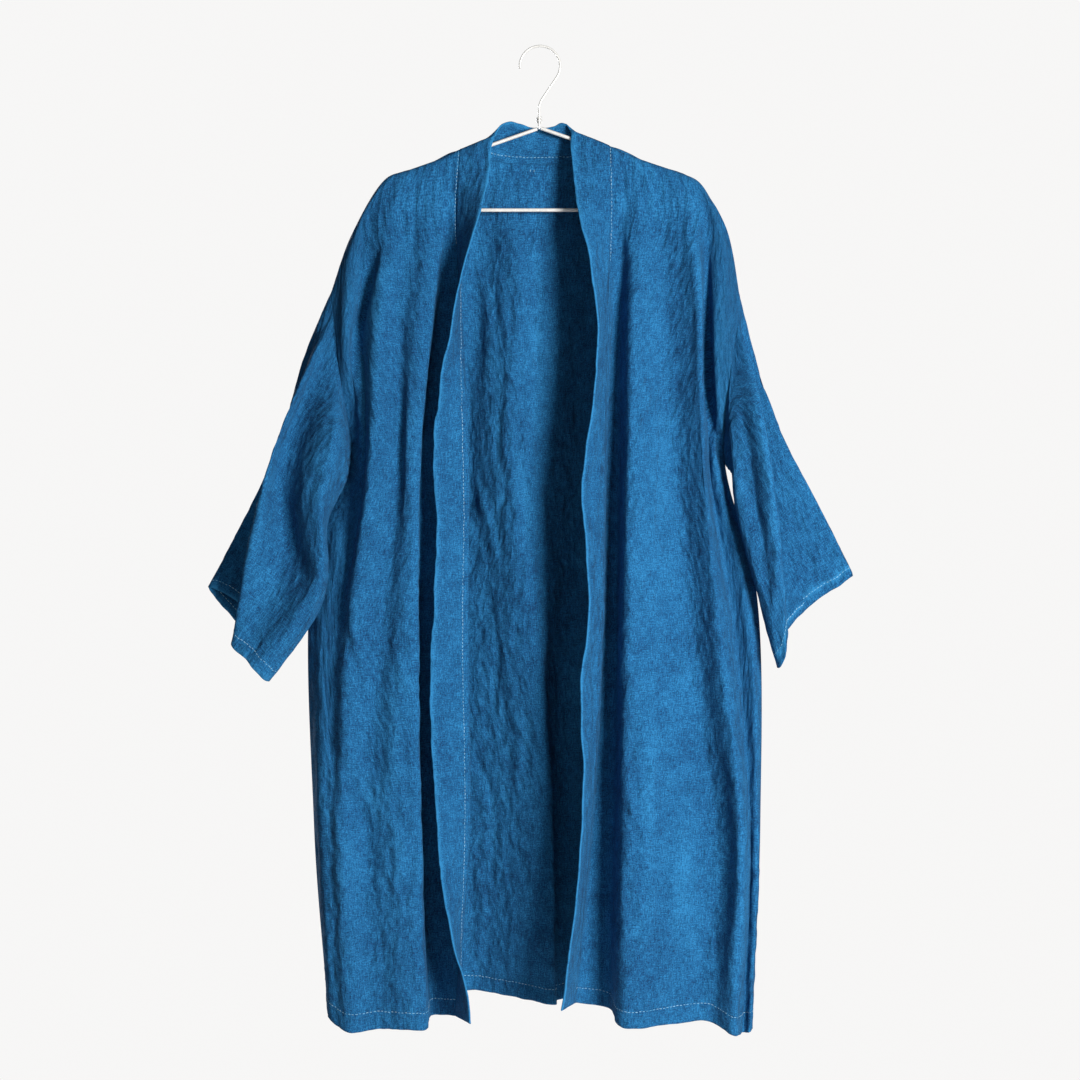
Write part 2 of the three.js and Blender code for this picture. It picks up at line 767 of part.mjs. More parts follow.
// Turns of one arm's wire wound round the hook's stem
function twistPath() {
  const radius = hookWireRadius + twistWire.radius + seamGap;
  return range(0, twistWire.turns * twistWire.stepsPerTurn).map((step) => {
    const angle = (step / twistWire.stepsPerTurn) * Math.PI * 2;
    const height = armStart + twistWire.start + step * twistWire.rise;
    return new THREE.Vector3(stemPlace + radius * Math.cos(angle), radius * Math.sin(angle), height);
  });
}

const linen = (colour) => new THREE.MeshStandardMaterial({ color: colour, roughness: 0.9, metalness: 0 });
const steel = new THREE.MeshStandardMaterial({ color: 0xd8d8d4, roughness: 0.35, metalness: 0.8 });

function addMesh(group, name, geometry, material) {
  const mesh = new THREE.Mesh(geometry, material);
  mesh.name = name;
  group.add(mesh);
}

const garment = new THREE.Group();
addMesh(garment, "back", sheetGeometry(back), linen(0x1f4f80));
addMesh(garment, "front_right", sheetGeometry(frontRight), linen(0x26689c));
addMesh(garment, "front_left", sheetGeometry(frontLeft), linen(0x26689c));
addMesh(garment, "sleeve_right", sheetGeometry(sleeveRight), linen(0x2368a0));
addMesh(garment, "sleeve_left", sheetGeometry(sleeveLeft), linen(0x2368a0));
addMesh(garment, "collar", sheetGeometry(collar), linen(0x2b6da4));

const hanger = new THREE.Group();
addMesh(hanger, "hanger_hook", wireGeometry(hookPath, hookWireRadius, wireSteps.hook), steel);
addMesh(hanger, "hanger_twist", wireGeometry(twistPath(), twistWire.radius, wireSteps.twist), steel);
addMesh(hanger, "hanger_arm_right", wireGeometry(armPath(-1), wireRadius, wireSteps.arm), steel);
addMesh(hanger, "hanger_arm_left", wireGeometry(armPath(1), wireRadius, wireSteps.arm), steel);
const barEnd = armReach - barInset - seamGap;
const barPath = [flat(-barEnd, barHeight), flat(barEnd, barHeight)];
addMesh(hanger, "hanger_bar", wireGeometry(barPath, wireRadius, 1), steel);

const haori = new THREE.Group();
haori.add(garment, hanger);
export default haori;
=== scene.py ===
# A long unlined linen haori, dyed with indigo, hanging open on a thin wire hanger.
# The shapes' tables are in millimetres, looks and lamps in metres; +X is the wearer's left, -Y is the front.
import math
import bpy
import numpy as np
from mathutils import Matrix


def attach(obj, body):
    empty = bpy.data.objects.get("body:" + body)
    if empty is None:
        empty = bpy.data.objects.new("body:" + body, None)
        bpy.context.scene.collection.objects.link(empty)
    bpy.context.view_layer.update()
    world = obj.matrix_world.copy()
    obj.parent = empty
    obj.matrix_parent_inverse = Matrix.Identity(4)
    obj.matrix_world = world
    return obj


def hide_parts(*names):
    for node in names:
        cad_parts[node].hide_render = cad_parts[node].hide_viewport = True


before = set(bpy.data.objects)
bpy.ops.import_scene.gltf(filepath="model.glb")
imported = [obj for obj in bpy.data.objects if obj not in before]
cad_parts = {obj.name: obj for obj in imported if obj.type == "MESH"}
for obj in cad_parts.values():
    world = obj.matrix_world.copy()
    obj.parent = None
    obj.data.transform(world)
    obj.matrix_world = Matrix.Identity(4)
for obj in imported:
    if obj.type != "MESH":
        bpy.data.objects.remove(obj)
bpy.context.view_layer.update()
mm = 0.001
weldReach = 0.00001     # metres
print("frame loaded")


# the hanger's line, which the shoulders follow
hangerShape = {
    "armStart": -97,        # height of the arms at the stem
    "armSlope": 0.35,
    "armReach": 166,
    "wireRadius": 2.2,
    "hookWireRadius": 1.4,
    "hookRadius": 24.2,     # to the centre of the wire
    "hookOpening": 186,     # degrees round the hook's centre, where its open end is
    "hookSweep": 220,       # from the open end to the reverse bend
    "reverseRadius": 24,
    "cornerRadius": 19,
    "cornerOut": 4,
    "stemPlace": -1,
    "twistWire": 1,
    "wireGap": 0.3,
    "twistLow": 6,          # above the arms' start
    "twistTurns": 2,
    "twistPitch": 3.36,
    "stemBelowArms": 1.5,   # how far the stem goes past the arms' start
    "barPart": 0.15,        # each half of the bar stops this short of its middle
    "bendStep": 7,          # degrees
}
shoulderLine = {
    "clearance": 3.9,       # the cloth's middle over the middle of the wire
    "reach": 180,           # past this the shoulder falls away to the armhole
    "fall": 0.0245,
    "neckRight": -96,
    "neckLeft": 83,
    "neckRise": 3.2,
    "neckSpread": 14,
    "overWireOut": 4.6,     # a panel's first steps over the wire
    "overWireDrop": 2.6,
}


def shoulderHeight(x):
    reach = abs(x)
    slope = hangerShape["armSlope"]
    neck = shoulderLine["neckRight"] if x < 0 else shoulderLine["neckLeft"]
    lifted = shoulderLine["neckRise"] * math.exp(-((x - neck) / shoulderLine["neckSpread"]) ** 2)
    onArm = hangerShape["armStart"] - slope * reach + shoulderLine["clearance"] * math.hypot(1, slope)
    past = max(0, reach - shoulderLine["reach"])
    return onArm + lifted - shoulderLine["fall"] * past * past


# fold tables run across a panel, with x, y and z at seven levels: shoulder, yoke, chest, underarm, waist,
# thigh and hem. A fold without z starts on the shoulder's line, or at its own top, and ends at its hem.
def foldHeights(fold):
    if "z" in fold:
        return fold["z"]
    top = fold["top"] if "top" in fold else shoulderHeight(fold["x"][0])
    return (top, -200, -320, -500, -700, -930, fold["hem"])


armholeDepth = {
    "frontRight": (0, -13, -16, 0, 0, 0, 0),
    "frontLeft": (0, -16, -27, 0, 0, 0, 0),
    "back": (0, 12, 15, 0, 0, 0, 0),
}
sideRight = {"x": (-250, -246, -238, -228, -271, -271, -255),
             "z": (-294, -330, -400, -496, -610, -930, -1146)}
sideLeft = {"x": (241, 235, 225, 222, 259, 264, 254),
            "z": (-306, -340, -405, -500, -650, -930, -1173)}
frontRightFolds = [
    {"fold": "armhole and side seam", **sideRight, "y": armholeDepth["frontRight"]},
    {"fold": "ridge over the armhole",
     "x": (-226, -230, -228, -215, -254, -258, -248),
     "y": (0, -16, -30, -12, -18, -39, -36),
     "z": (-226, -262, -345, -500, -640, -930, -1160)},
    {"fold": "drag from hanger end to armpit", "hem": -1166,
     "x": (-184, -203, -209, -206, -238, -246, -238),
     "y": (0, -8, -14, -18, -32, -44, -42)},
    {"fold": "outer ridge", "hem": -1171,
     "x": (-160, -176, -188, -200, -224, -234, -224),
     "y": (0, -16, -38, -45, -50, -54, -52)},
    {"fold": "shallow valley", "hem": -1168,
     "x": (-137, -150, -162, -166, -186, -204, -190),
     "y": (0, -12, -31, -37, -41, -43, -45)},
    {"fold": "inner ridge", "hem": -1167,
     "x": (-119, -130, -143, -158, -164, -163, -152),
     "y": (0, -14, -38, -47, -51, -54, -56)},
    {"fold": "turn edge", "hem": -1168,
     "x": (-108, -116, -128, -143, -145, -143, -135),
     "y": (0, -12, -34, -43, -47, -50, -51)},
    {"fold": "channel behind the turn edge", "hem": -1162,
     "x": (-102, -109, -123, -143, -145, -142, -130),
     "y": (0, -8, -13, -9, -2, 3, 3)},
    {"fold": "collar seam", "hem": -1160,
     "x": (-96, -100, -94, -85, -86, -84, -101),
     "y": (0, -9, -16, -16, -14, -13, -11)},
]
frontLeftFolds = [
    {"fold": "armhole and side seam", **sideLeft, "y": armholeDepth["frontLeft"]},
    {"fold": "ridge over the armhole",
     "x": (218, 218, 212, 211, 246, 257, 249),
     "y": (0, -14, -22, -12, -17, -30, -28),
     "z": (-216, -262, -345, -500, -650, -930, -1176)},
    {"fold": "armhole valley", "hem": -1177,
     "x": (191, 198, 200, 203, 232, 250, 243),
     "y": (0, -5, -6, -5, -13, -22, -20)},
    {"fold": "outer ridge", "hem": -1175,
     "x": (165, 176, 186, 193, 211, 235, 228),
     "y": (0, -15, -41, -48, -50, -56, -52)},
    {"fold": "long valley", "hem": -1162,
     "x": (132, 140, 150, 160, 180, 203, 200),
     "y": (0, -10, -22, -24, -27, -28, -31)},
    {"fold": "inner ridge", "hem": -1164,
     "x": (111, 115, 109, 106, 102, 100, 98),
     "y": (0, -15, -39, -51, -59, -62, -58)},
    {"fold": "valley floor", "hem": -1150,
     "x": (98, 101, 96, 93, 90, 86, 80),
     "y": (0, -10, -14, -11, -11, -11, -12)},
    {"fold": "behind the band", "hem": -1144,
     "x": (90, 92, 87, 82, 79, 65, 46),
     "y": (0, -11, -16, -13, -13, -13, -15)},
    {"fold": "collar seam", "hem": -1138,
     "x": (83, 84, 80, 76, 73, 60, 40),
     "y": (0, -14, -30, -36, -40, -46, -44)},
]
backFolds = [
    {"fold": "right armhole and side seam", **sideRight, "y": armholeDepth["back"]},
    {"fold": "bulge at the right armhole",
     "x": (-226, -230, -228, -211, -254, -258, -246),
     "y": (0, 12, 26, 12, 18, 22, 20),
     "z": (-226, -262, -345, -500, -640, -930, -1142)},
    {"fold": "valley under the right hanger end", "hem": -1140,
     "x": (-182, -198, -204, -196, -228, -236, -226),
     "y": (0, 6, 8, 6, 6, 8, 8)},
    {"fold": "right shoulder-blade bulge", "hem": -1140,
     "x": (-140, -146, -152, -160, -172, -186, -184),
     "y": (0, 14, 24, 26, 30, 30, 28)},
    {"fold": "valley from the right neck point", "hem": -1140,
     "x": (-96, -102, -112, -120, -126, -128, -124),
     "y": (0, 10, 14, 14, 14, 14, 13)},
    {"fold": "bulge right of the centre ridge", "top": -134, "hem": -1138,
     "x": (-55, -66, -80, -90, -92, -90, -80),
     "y": (14, 20, 29, 34, 36, 35, 33)},
    {"fold": "centre ridge", "top": -137, "hem": -1150,
     "x": (-18, -32, -36, -34, -8, 15, 18),
     "y": (18, 13, 5, 1, 0, -1, 1)},
    {"fold": "turn left of the centre ridge", "top": -137, "hem": -1150,
     "x": (14, 20, 24, 20, 16, 14, 16),
     "y": (18, 17, 18, 20, 25, 27, 25)},
    {"fold": "deep left fold", "top": -134, "hem": -1146,
     "x": (50, 56, 60, 54, 44, 38, 44),
     "y": (16, 20, 28, 32, 38, 40, 34)},
    {"fold": "valley from the left neck point", "hem": -1145,
     "x": (83, 94, 100, 100, 96, 92, 92),
     "y": (0, 10, 12, 10, 10, 8, 8)},
    {"fold": "left shoulder-blade bulge", "hem": -1145,
     "x": (132, 138, 142, 146, 150, 156, 150),
     "y": (0, 14, 24, 26, 30, 32, 30)},
    {"fold": "valley under the left hanger end", "hem": -1145,
     "x": (182, 188, 191, 192, 208, 218, 212),
     "y": (0, 6, 8, 6, 6, 8, 8)},
    {"fold": "bulge at the left armhole",
     "x": (221, 225, 222, 210, 240, 250, 243),
     "y": (0, 12, 24, 12, 18, 22, 20),
     "z": (-210, -262, -345, -500, -700, -930, -1145)},
    {"fold": "left armhole and side seam", **sideLeft, "y": armholeDepth["back"]},
]

# The collar band's free edge: down each front by height, and round the neck by the place along its seam
rightBandEdge = [  # height, x, y, lift
    (-127, -55, -3, 17),
    (-132, -58, -9, 10),
    (-150, -61, -15, 2),
    (-198, -69, -38, 0),
    (-254, -86, -54, 0),
    (-302, -97, -57, 0),
    (-347, -106, -56, 0),
    (-389, -115, -51, 0),
    (-431, -120, -44, 0),
    (-492, -126, -36, 0),
    (-582, -122, -40, 0),
    (-780, -130, -36, 0),
    (-890, -124, -40, 0),
    (-975, -118, -48, 0),
    (-1020, -111, -54, 0),
    (-1060, -103, -58, 0),
    (-1100, -91, -58, 0),
    (-1160, -82, -54, 0),
]
leftBandEdge = [  # height, x, y, lift
    (-122, 38, -3, 18),
    (-128, 37, -10, 10),
    (-144, 39, -15, 4),
    (-173, 42, -22, 0),
    (-212, 47, -40, 0),
    (-264, 59, -59, 0),
    (-323, 66, -69, 0),
    (-376, 67, -72, 0),
    (-428, 62, -73, 0),
    (-520, 50, -69, 0),
    (-582, 52, -75, 0),
    (-675, 57, -80, 0),
    (-762, 48, -80, 0),
    (-867, 50, -86, 0),
    (-938, 48, -88, 0),
    (-1010, 42, -87, 0),
    (-1138, 25, -85, 0),
]
neckBandEdge = [  # seamX, x, y, z
    (-96, -55, -3, -110),
    (-75, -47, 3, -94),
    (-55, -34, 8, -89),
    (-18, -4, 12, -96),
    (14, 14, 11, -94),
    (50, 28, 8, -90),
    (68, 33, 5, -94),
    (83, 38, -3, -104),
]

# Sleeves: lines from the armhole to the cuff, at the upper arm, elbow, forearm and cuff
rightSleeveLines = {
    "front": [
        {"fold": "top fold", "x": (-281, -312, -354, -400), "y": (4, 8, 12, 14),
         "z": (-366, -472, -563, -648)},
        {"fold": "valley", "x": (-280, -309, -323, -350), "y": (-10, -6, 4, 6),
         "z": (-388, -486, -582, -678)},
        {"fold": "ridge", "x": (-279, -316, -338, -366), "y": (-28, -40, -46, -36),
         "z": (-394, -489, -588, -714)},
        {"fold": "hollow", "x": (-280, -308, -302, -352), "y": (-18, -25, -31, -42),
         "z": (-430, -508, -616, -728)},
        {"fold": "lower ridge", "x": (-240, -256, -262, -334), "y": (-48, -62, -62, -46),
         "z": (-460, -545, -646, -748)},
        {"fold": "underarm", "x": (-231, -254, -258, -321), "y": (-9, -23, -30, -30),
         "z": (-517, -572, -664, -759)},
    ],
    "back": [
        {"fold": "back of the underarm", "x": (-254, -276, -306, -337), "y": (16, 10, 2, -8),
         "z": (-472, -544, -646, -726)},
        {"fold": "back bulge", "x": (-266, -298, -342, -370), "y": (24, 28, 26, 24),
         "z": (-418, -508, -598, -688)},
    ],
}
leftSleeveLines = {
    "front": [
        {"fold": "top fold", "x": (264, 295, 337, 378), "y": (4, 8, 12, 14),
         "z": (-390, -472, -553, -634)},
        {"fold": "valley", "x": (243, 256, 268, 286), "y": (-2, 4, 8, 8),
         "z": (-412, -500, -600, -698)},
        {"fold": "ridge", "x": (256, 271, 281, 293), "y": (-46, -53, -50, -38),
         "z": (-414, -502, -598, -702)},
        {"fold": "hollow", "x": (232, 250, 266, 289), "y": (-35, -42, -47, -44),
         "z": (-436, -520, -616, -730)},
        {"fold": "lower ridge", "x": (226, 234, 254, 284), "y": (-30, -36, -40, -36),
         "z": (-462, -536, -630, -742)},
        {"fold": "underarm", "x": (234, 243, 264, 283), "y": (-11, -16, -16, -20),
         "z": (-518, -580, -664, -742)},
    ],
    "back": [
        {"fold": "back of the underarm", "x": (248, 262, 278, 292), "y": (16, 8, 2, -4),
         "z": (-478, -548, -638, -706)},
        {"fold": "back bulge", "x": (252, 284, 312, 336), "y": (24, 28, 26, 22),
         "z": (-440, -518, -596, -663)},
    ],
}


def smoothLine(points, places, closed=False):
    # a line through every point; place 2.5 is half way from the third point to the fourth
    points = np.asarray(points, float)
    last = len(points) if closed else len(points) - 1
    places = np.clip(np.asarray(places, float), 0, last)
    span = np.minimum(places.astype(int), last - 1)
    share = places - span
    if closed:
        picks = [points[(span + step) % len(points)] for step in (-1, 0, 1, 2)]
    else:
        padded = np.concatenate([[2 * points[0] - points[1]], points, [2 * points[-1] - points[-2]]])
        picks = [padded[span + step] for step in (0, 1, 2, 3)]
    before, start, end, after = picks
    knots = [np.sqrt(np.linalg.norm(b - a, axis=-1, keepdims=True)) for a, b in zip(picks, picks[1:])]
    knots = [np.maximum(k, 1e-4) for k in knots]
    k0, k1, k2 = knots
    outOf = ((start - before) / k0 - (end - before) / (k0 + k1) + (end - start) / k1) * k1
    into = ((end - start) / k1 - (after - start) / (k1 + k2) + (after - end) / k2) * k1
    t = share.reshape([-1] + [1] * (points.ndim - 1))
    return (start + outOf * t + (3 * (end - start) - 2 * outOf - into) * t ** 2
            + (2 * (start - end) + outOf + into) * t ** 3)


def lengthsAlong(line):
    # how far each point of a line is from its start
    steps = np.linalg.norm(np.diff(line, axis=0), axis=-1)
    return np.concatenate([[0], np.cumsum(steps)])


def respace(line, shares):
    # the same line with its points at the given shares of its length
    run = lengthsAlong(line)
    return np.stack([np.interp(np.asarray(shares) * run[-1], run, line[:, c]) for c in range(3)], axis=1)


def easeIn(value, start, end):
    t = np.clip((value - start) / (end - start), 0, 1)
    return t * t * (3 - 2 * t)


def tableColumn(table, places, column):
    # a smooth curve through one column of a table, keyed by its first column
    rows = np.array(table, float)
    if rows[0, 0] > rows[-1, 0]:
        rows = rows[::-1]
    key, value = rows[:, 0], rows[:, column]
    slopes = np.empty(len(key))
    for index in range(len(key)):
        low, high = max(index - 1, 0), min(index + 1, len(key) - 1)
        slopes[index] = (value[high] - value[low]) / (key[high] - key[low])
    places = np.clip(places, key[0], key[-1])
    after = np.clip(np.searchsorted(key, places), 1, len(key) - 1)
    width = key[after] - key[after - 1]
    t = (places - key[after - 1]) / width
    return (value[after - 1] * (2 * t ** 3 - 3 * t ** 2 + 1) + value[after] * (3 * t ** 2 - 2 * t ** 3)
            + slopes[after - 1] * width * (t ** 3 - 2 * t ** 2 + t)
            + slopes[after] * width * (t ** 3 - t ** 2))


def swells(u, v, seed):
    # smooth random heights, about one swell to each unit, near -1 to 1
    rng = np.random.default_rng(seed)
    size = 256
    order = rng.permutation(size)
    angles = rng.uniform(0, 2 * np.pi, size)
    iu, iv = np.floor(u).astype(int), np.floor(v).astype(int)
    fu, fv = u - iu, v - iv

    def corner(du, dv):
        angle = angles[order[(iu + du + order[(iv + dv) % size]) % size]]
        return np.cos(angle) * (fu - du) + np.sin(angle) * (fv - dv)

    su, sv = fu ** 3 * (fu * (fu * 6 - 15) + 10), fv ** 3 * (fv * (fv * 6 - 15) + 10)
    low = corner(0, 0) * (1 - su) + corner(1, 0) * su
    high = corner(0, 1) * (1 - su) + corner(1, 1) * su
    return (low * (1 - sv) + high * sv) * 1.5


crumpleShape = {
    "wanderPitch": 90,      # mm
    "wander": 0.6,          # how far a crumple's rows bend aside, in its own widths
    "patchPitch": (130, 170),
    "patchEase": 0.35,
    "calm": 0.45,           # the share of its height that a calm patch keeps
    "crestLevel": 0.3,
    "crestRound": 0.0012,   # larger is rounder
}


def crumple(u, v, layers, seed):
    # layers: (across mm, along mm, turn in degrees, height mm); a negative height has sharp crests
    pitch, ease, calm = crumpleShape["wanderPitch"], crumpleShape["patchEase"], crumpleShape["calm"]
    patchAcross, patchAlong = crumpleShape["patchPitch"]
    total = np.zeros_like(u)
    for number, (across, along, turn, height) in enumerate(layers):
        c, s = math.cos(math.radians(turn)), math.sin(math.radians(turn))
        wander = swells(u / pitch, v / pitch, seed + 40 + number) * crumpleShape["wander"]
        a = (u * c + v * s) / across + wander
        b = (v * c - u * s) / along + wander * 0.5
        field = swells(a, b, seed + number)
        patches = swells(u / patchAcross, v / patchAlong, seed + 80 + number)
        patches = calm + (1 - calm) * easeIn(patches, -ease, ease)
        if height < 0:
            crests = crumpleShape["crestLevel"] - np.sqrt(field ** 2 + crumpleShape["crestRound"])
            total += -height * crests * patches
        else:
            total += height * field * patches
    return total


creaseLean = 0.3        # how much steeper one side of a crease is


def creaseHeights(points, creases):
    # raised or pressed creases: width, depth and a route of (x, z), tapering to nothing at both ends
    total = np.zeros(points.shape[:2])
    flatX, flatZ = points[..., 0], points[..., 2]
    for width, depth, route in creases:
        route = smoothLine(route, np.linspace(0, len(route) - 1, 10 * (len(route) - 1) + 1))
        margin = width * 4
        near = ((flatX > route[:, 0].min() - margin) & (flatX < route[:, 0].max() + margin)
                & (flatZ > route[:, 1].min() - margin) & (flatZ < route[:, 1].max() + margin))
        x, z = flatX[near], flatZ[near]
        nearest, at, side = np.full(x.shape, 1e9), np.zeros(x.shape), np.zeros(x.shape)
        for step, (a, b) in enumerate(zip(route[:-1], route[1:])):
            run = b - a
            t = np.clip(((x - a[0]) * run[0] + (z - a[1]) * run[1]) / max(run @ run, 1e-9), 0, 1)
            dx, dz = x - a[0] - t * run[0], z - a[1] - t * run[1]
            distance = np.hypot(dx, dz)
            closer = distance < nearest
            nearest = np.where(closer, distance, nearest)
            at = np.where(closer, (step + t) / (len(route) - 1), at)
            side = np.where(closer, np.sign(dx * run[1] - dz * run[0]), side)
        taper = np.sin(np.pi * np.clip(at, 0, 1)) ** 0.7
        reach = width * (1 + creaseLean * side)
        shape = np.exp(-(nearest / reach) ** 2) - 0.4 * np.exp(-(nearest / (2.4 * reach)) ** 2)
        total[near] += depth * shape * taper
    return total


clothCell = {
    "downRows": (2, 24, 34, 50, 56, 64, 66),    # rows between the levels, the over-wire step first
    "frontRight": 128,
    "frontLeft": 124,
    "back": 156,
    "sleeveRing": 220,
    "sleeveRows": 104,
    "armholeFront": (0, 1, 5, 9, 12),           # how the armhole's levels share out a sleeve's lines
    "armholeBack": (0, 1, 3, 5, 7),
    "settleShare": 0.3,                         # where a sleeve's columns have become even
    "bandStep": 3.6,                            # mm between the collar's rows
    "bandAcross": 12,
    "neckMargin": 2,                            # mm between the band's neck and each front
}


def downPlaces():
    places = [0]
    for span, count in enumerate(clothCell["downRows"]):
        places += [span + (step + 1) / count for step in range(count)]
    return np.array(places)


underarmRow = sum(clothCell["downRows"][:4])


def panelGrid(folds, columns, facing):
    # a panel's middle surface, rows down the cloth and even columns across it
    out, drop = shoulderLine["overWireOut"], shoulderLine["overWireDrop"]
    lines = []
    for fold in folds:
        points = [list(p) for p in zip(fold["x"], fold["y"], foldHeights(fold))]
        top = points[0]
        points.insert(1, [top[0], top[1] + (out * facing if top[1] == 0 else 0), top[2] - drop])
        lines.append(points)
    down = downPlaces()
    controls = smoothLine(np.array(lines).transpose(1, 0, 2), down)
    dense = smoothLine(controls.transpose(1, 0, 2), np.linspace(0, len(folds) - 1, 24 * (len(folds) - 1) + 1))
    dense = dense.transpose(1, 0, 2)
    for row, place in enumerate(down[down <= 1.0]):
        dense[row, :, 1] = facing * np.maximum(dense[row, :, 1] * facing, out * place)
    shares = np.linspace(0, 1, columns + 1)
    return np.array([respace(row, shares) for row in dense])


def meetAtSide(front, back, backColumn):
    # below the armpit a front and the back end on one line
    shared = (front[underarmRow:, 0] + back[underarmRow:, backColumn]) / 2
    front[underarmRow:, 0] = shared
    back[underarmRow:, backColumn] = shared


def meetAtShoulder(front, back):
    # above a front, the back's top edge follows the front's
    order = np.argsort(front[0, :, 0])
    xs, zs = front[0, order, 0], front[0, order, 2]
    covered = (back[0, :, 0] >= xs[0]) & (back[0, :, 0] <= xs[-1])
    back[0, covered, 2] = np.interp(back[0, covered, 0], xs, zs)


def sleeveGrid(lines, front, back, backColumn):
    # rings from the armhole to the cuff; the first ring is the panels' own edges
    frontEdge = front[:underarmRow + 1, 0]
    backEdge = back[1:underarmRow, backColumn][::-1]
    armhole = np.concatenate([frontEdge, backEdge])
    down = downPlaces()[:underarmRow + 1]
    frontSpan = len(lines["front"]) - 1
    frontSteps, backSteps = clothCell["armholeFront"], clothCell["armholeBack"]
    frontPlace = np.interp(down, range(5), np.array(frontSteps) / frontSteps[-1]) * frontSpan
    backPlace = np.interp(down, range(5), np.array(backSteps) / backSteps[-1])
    backPlace = frontSpan + (1 - backPlace[1:-1][::-1]) * (len(lines["back"]) + 1)
    places = np.concatenate([frontPlace, backPlace])
    controls = lines["front"] + lines["back"]
    rings = [armhole]
    for level in range(4):
        corners = [[line["x"][level], line["y"][level], line["z"][level]] for line in controls]
        rings.append(smoothLine(corners, places, closed=True))
    rows = smoothLine(np.array(rings), np.linspace(0, 4, clothCell["sleeveRows"] + 1))
    count = clothCell["sleeveRing"]
    armRun = lengthsAlong(np.concatenate([armhole, armhole[:1]]))
    grid = []
    for number, ring in enumerate(rows):
        loop = np.concatenate([ring, ring[:1]])
        run = lengthsAlong(loop)
        even = np.interp(np.linspace(0, armRun[-1], count + 1)[:-1], armRun, run) / run[-1]
        settle = easeIn(number / clothCell["sleeveRows"], 0, clothCell["settleShare"])
        grid.append(respace(loop, even * (1 - settle) + np.arange(count) / count * settle))
    return np.array(grid)


def collarGrid(right, left, back):
    # the band's seam runs on the panels' own edges, from the right hem round the neck to the left hem
    x, margin = back[0, :, 0], clothCell["neckMargin"]
    neck = back[0][(x > shoulderLine["neckRight"] + margin) & (x < shoulderLine["neckLeft"] - margin)]
    seam = np.concatenate([right[::-1, -1], neck, left[:, -1]])
    run = lengthsAlong(seam)
    marks = [0, run[len(right) - 1], run[len(right) + len(neck)], run[-1]]
    stretches = []
    for start, end in zip(marks, marks[1:]):
        count = max(2, round((end - start) / clothCell["bandStep"]))
        stretches.append(np.linspace(start, end, count + 1)[:-1])
    places = np.concatenate(stretches + [[run[-1]]])
    seam = respace(seam, places / run[-1])
    edge = seam.copy()
    onRight = places <= marks[1]
    onLeft = places >= marks[2]
    onNeck = ~(onRight | onLeft)
    for chosen, table in ((onRight, rightBandEdge), (onLeft, leftBandEdge)):
        z = seam[chosen, 2]
        edge[chosen, 0] = tableColumn(table, z, 1)
        edge[chosen, 1] = tableColumn(table, z, 2)
        edge[chosen, 2] = z + tableColumn(table, z, 3)
    for column in (0, 1, 2):
        edge[onNeck, column] = tableColumn(neckBandEdge, seam[onNeck, 0], column + 1)
    shares = np.linspace(0, 1, clothCell["bandAcross"] + 1)[None, :, None]
    return seam[:, None] * (1 - shares) + edge[:, None] * shares, marks


def faceNormals(grid, closed=False):
    if closed:
        across = np.roll(grid, -1, axis=1) - np.roll(grid, 1, axis=1)
    else:
        across = np.gradient(grid, axis=1)
    down = np.gradient(grid, axis=0)
    normals = np.cross(down, across)
    return normals / np.maximum(np.linalg.norm(normals, axis=-1, keepdims=True), 1e-9)


def clothPlaces(grid):
    # each point's place in the flat cloth, in mm: across from the first column, and down from the top
    across = np.linalg.norm(np.diff(grid, axis=1), axis=-1)
    width = np.median(across.sum(axis=1))
    down = np.linalg.norm(np.diff(grid, axis=0), axis=-1)
    length = np.median(down.sum(axis=0))
    rows, columns = grid.shape[:2]
    u = np.broadcast_to(np.linspace(0, width, columns), (rows, columns))
    steps = np.concatenate([[0], np.cumsum(np.median(down, axis=1))])
    v = np.broadcast_to(steps[:, None], (rows, columns))
    return u.copy(), v.copy(), width, length


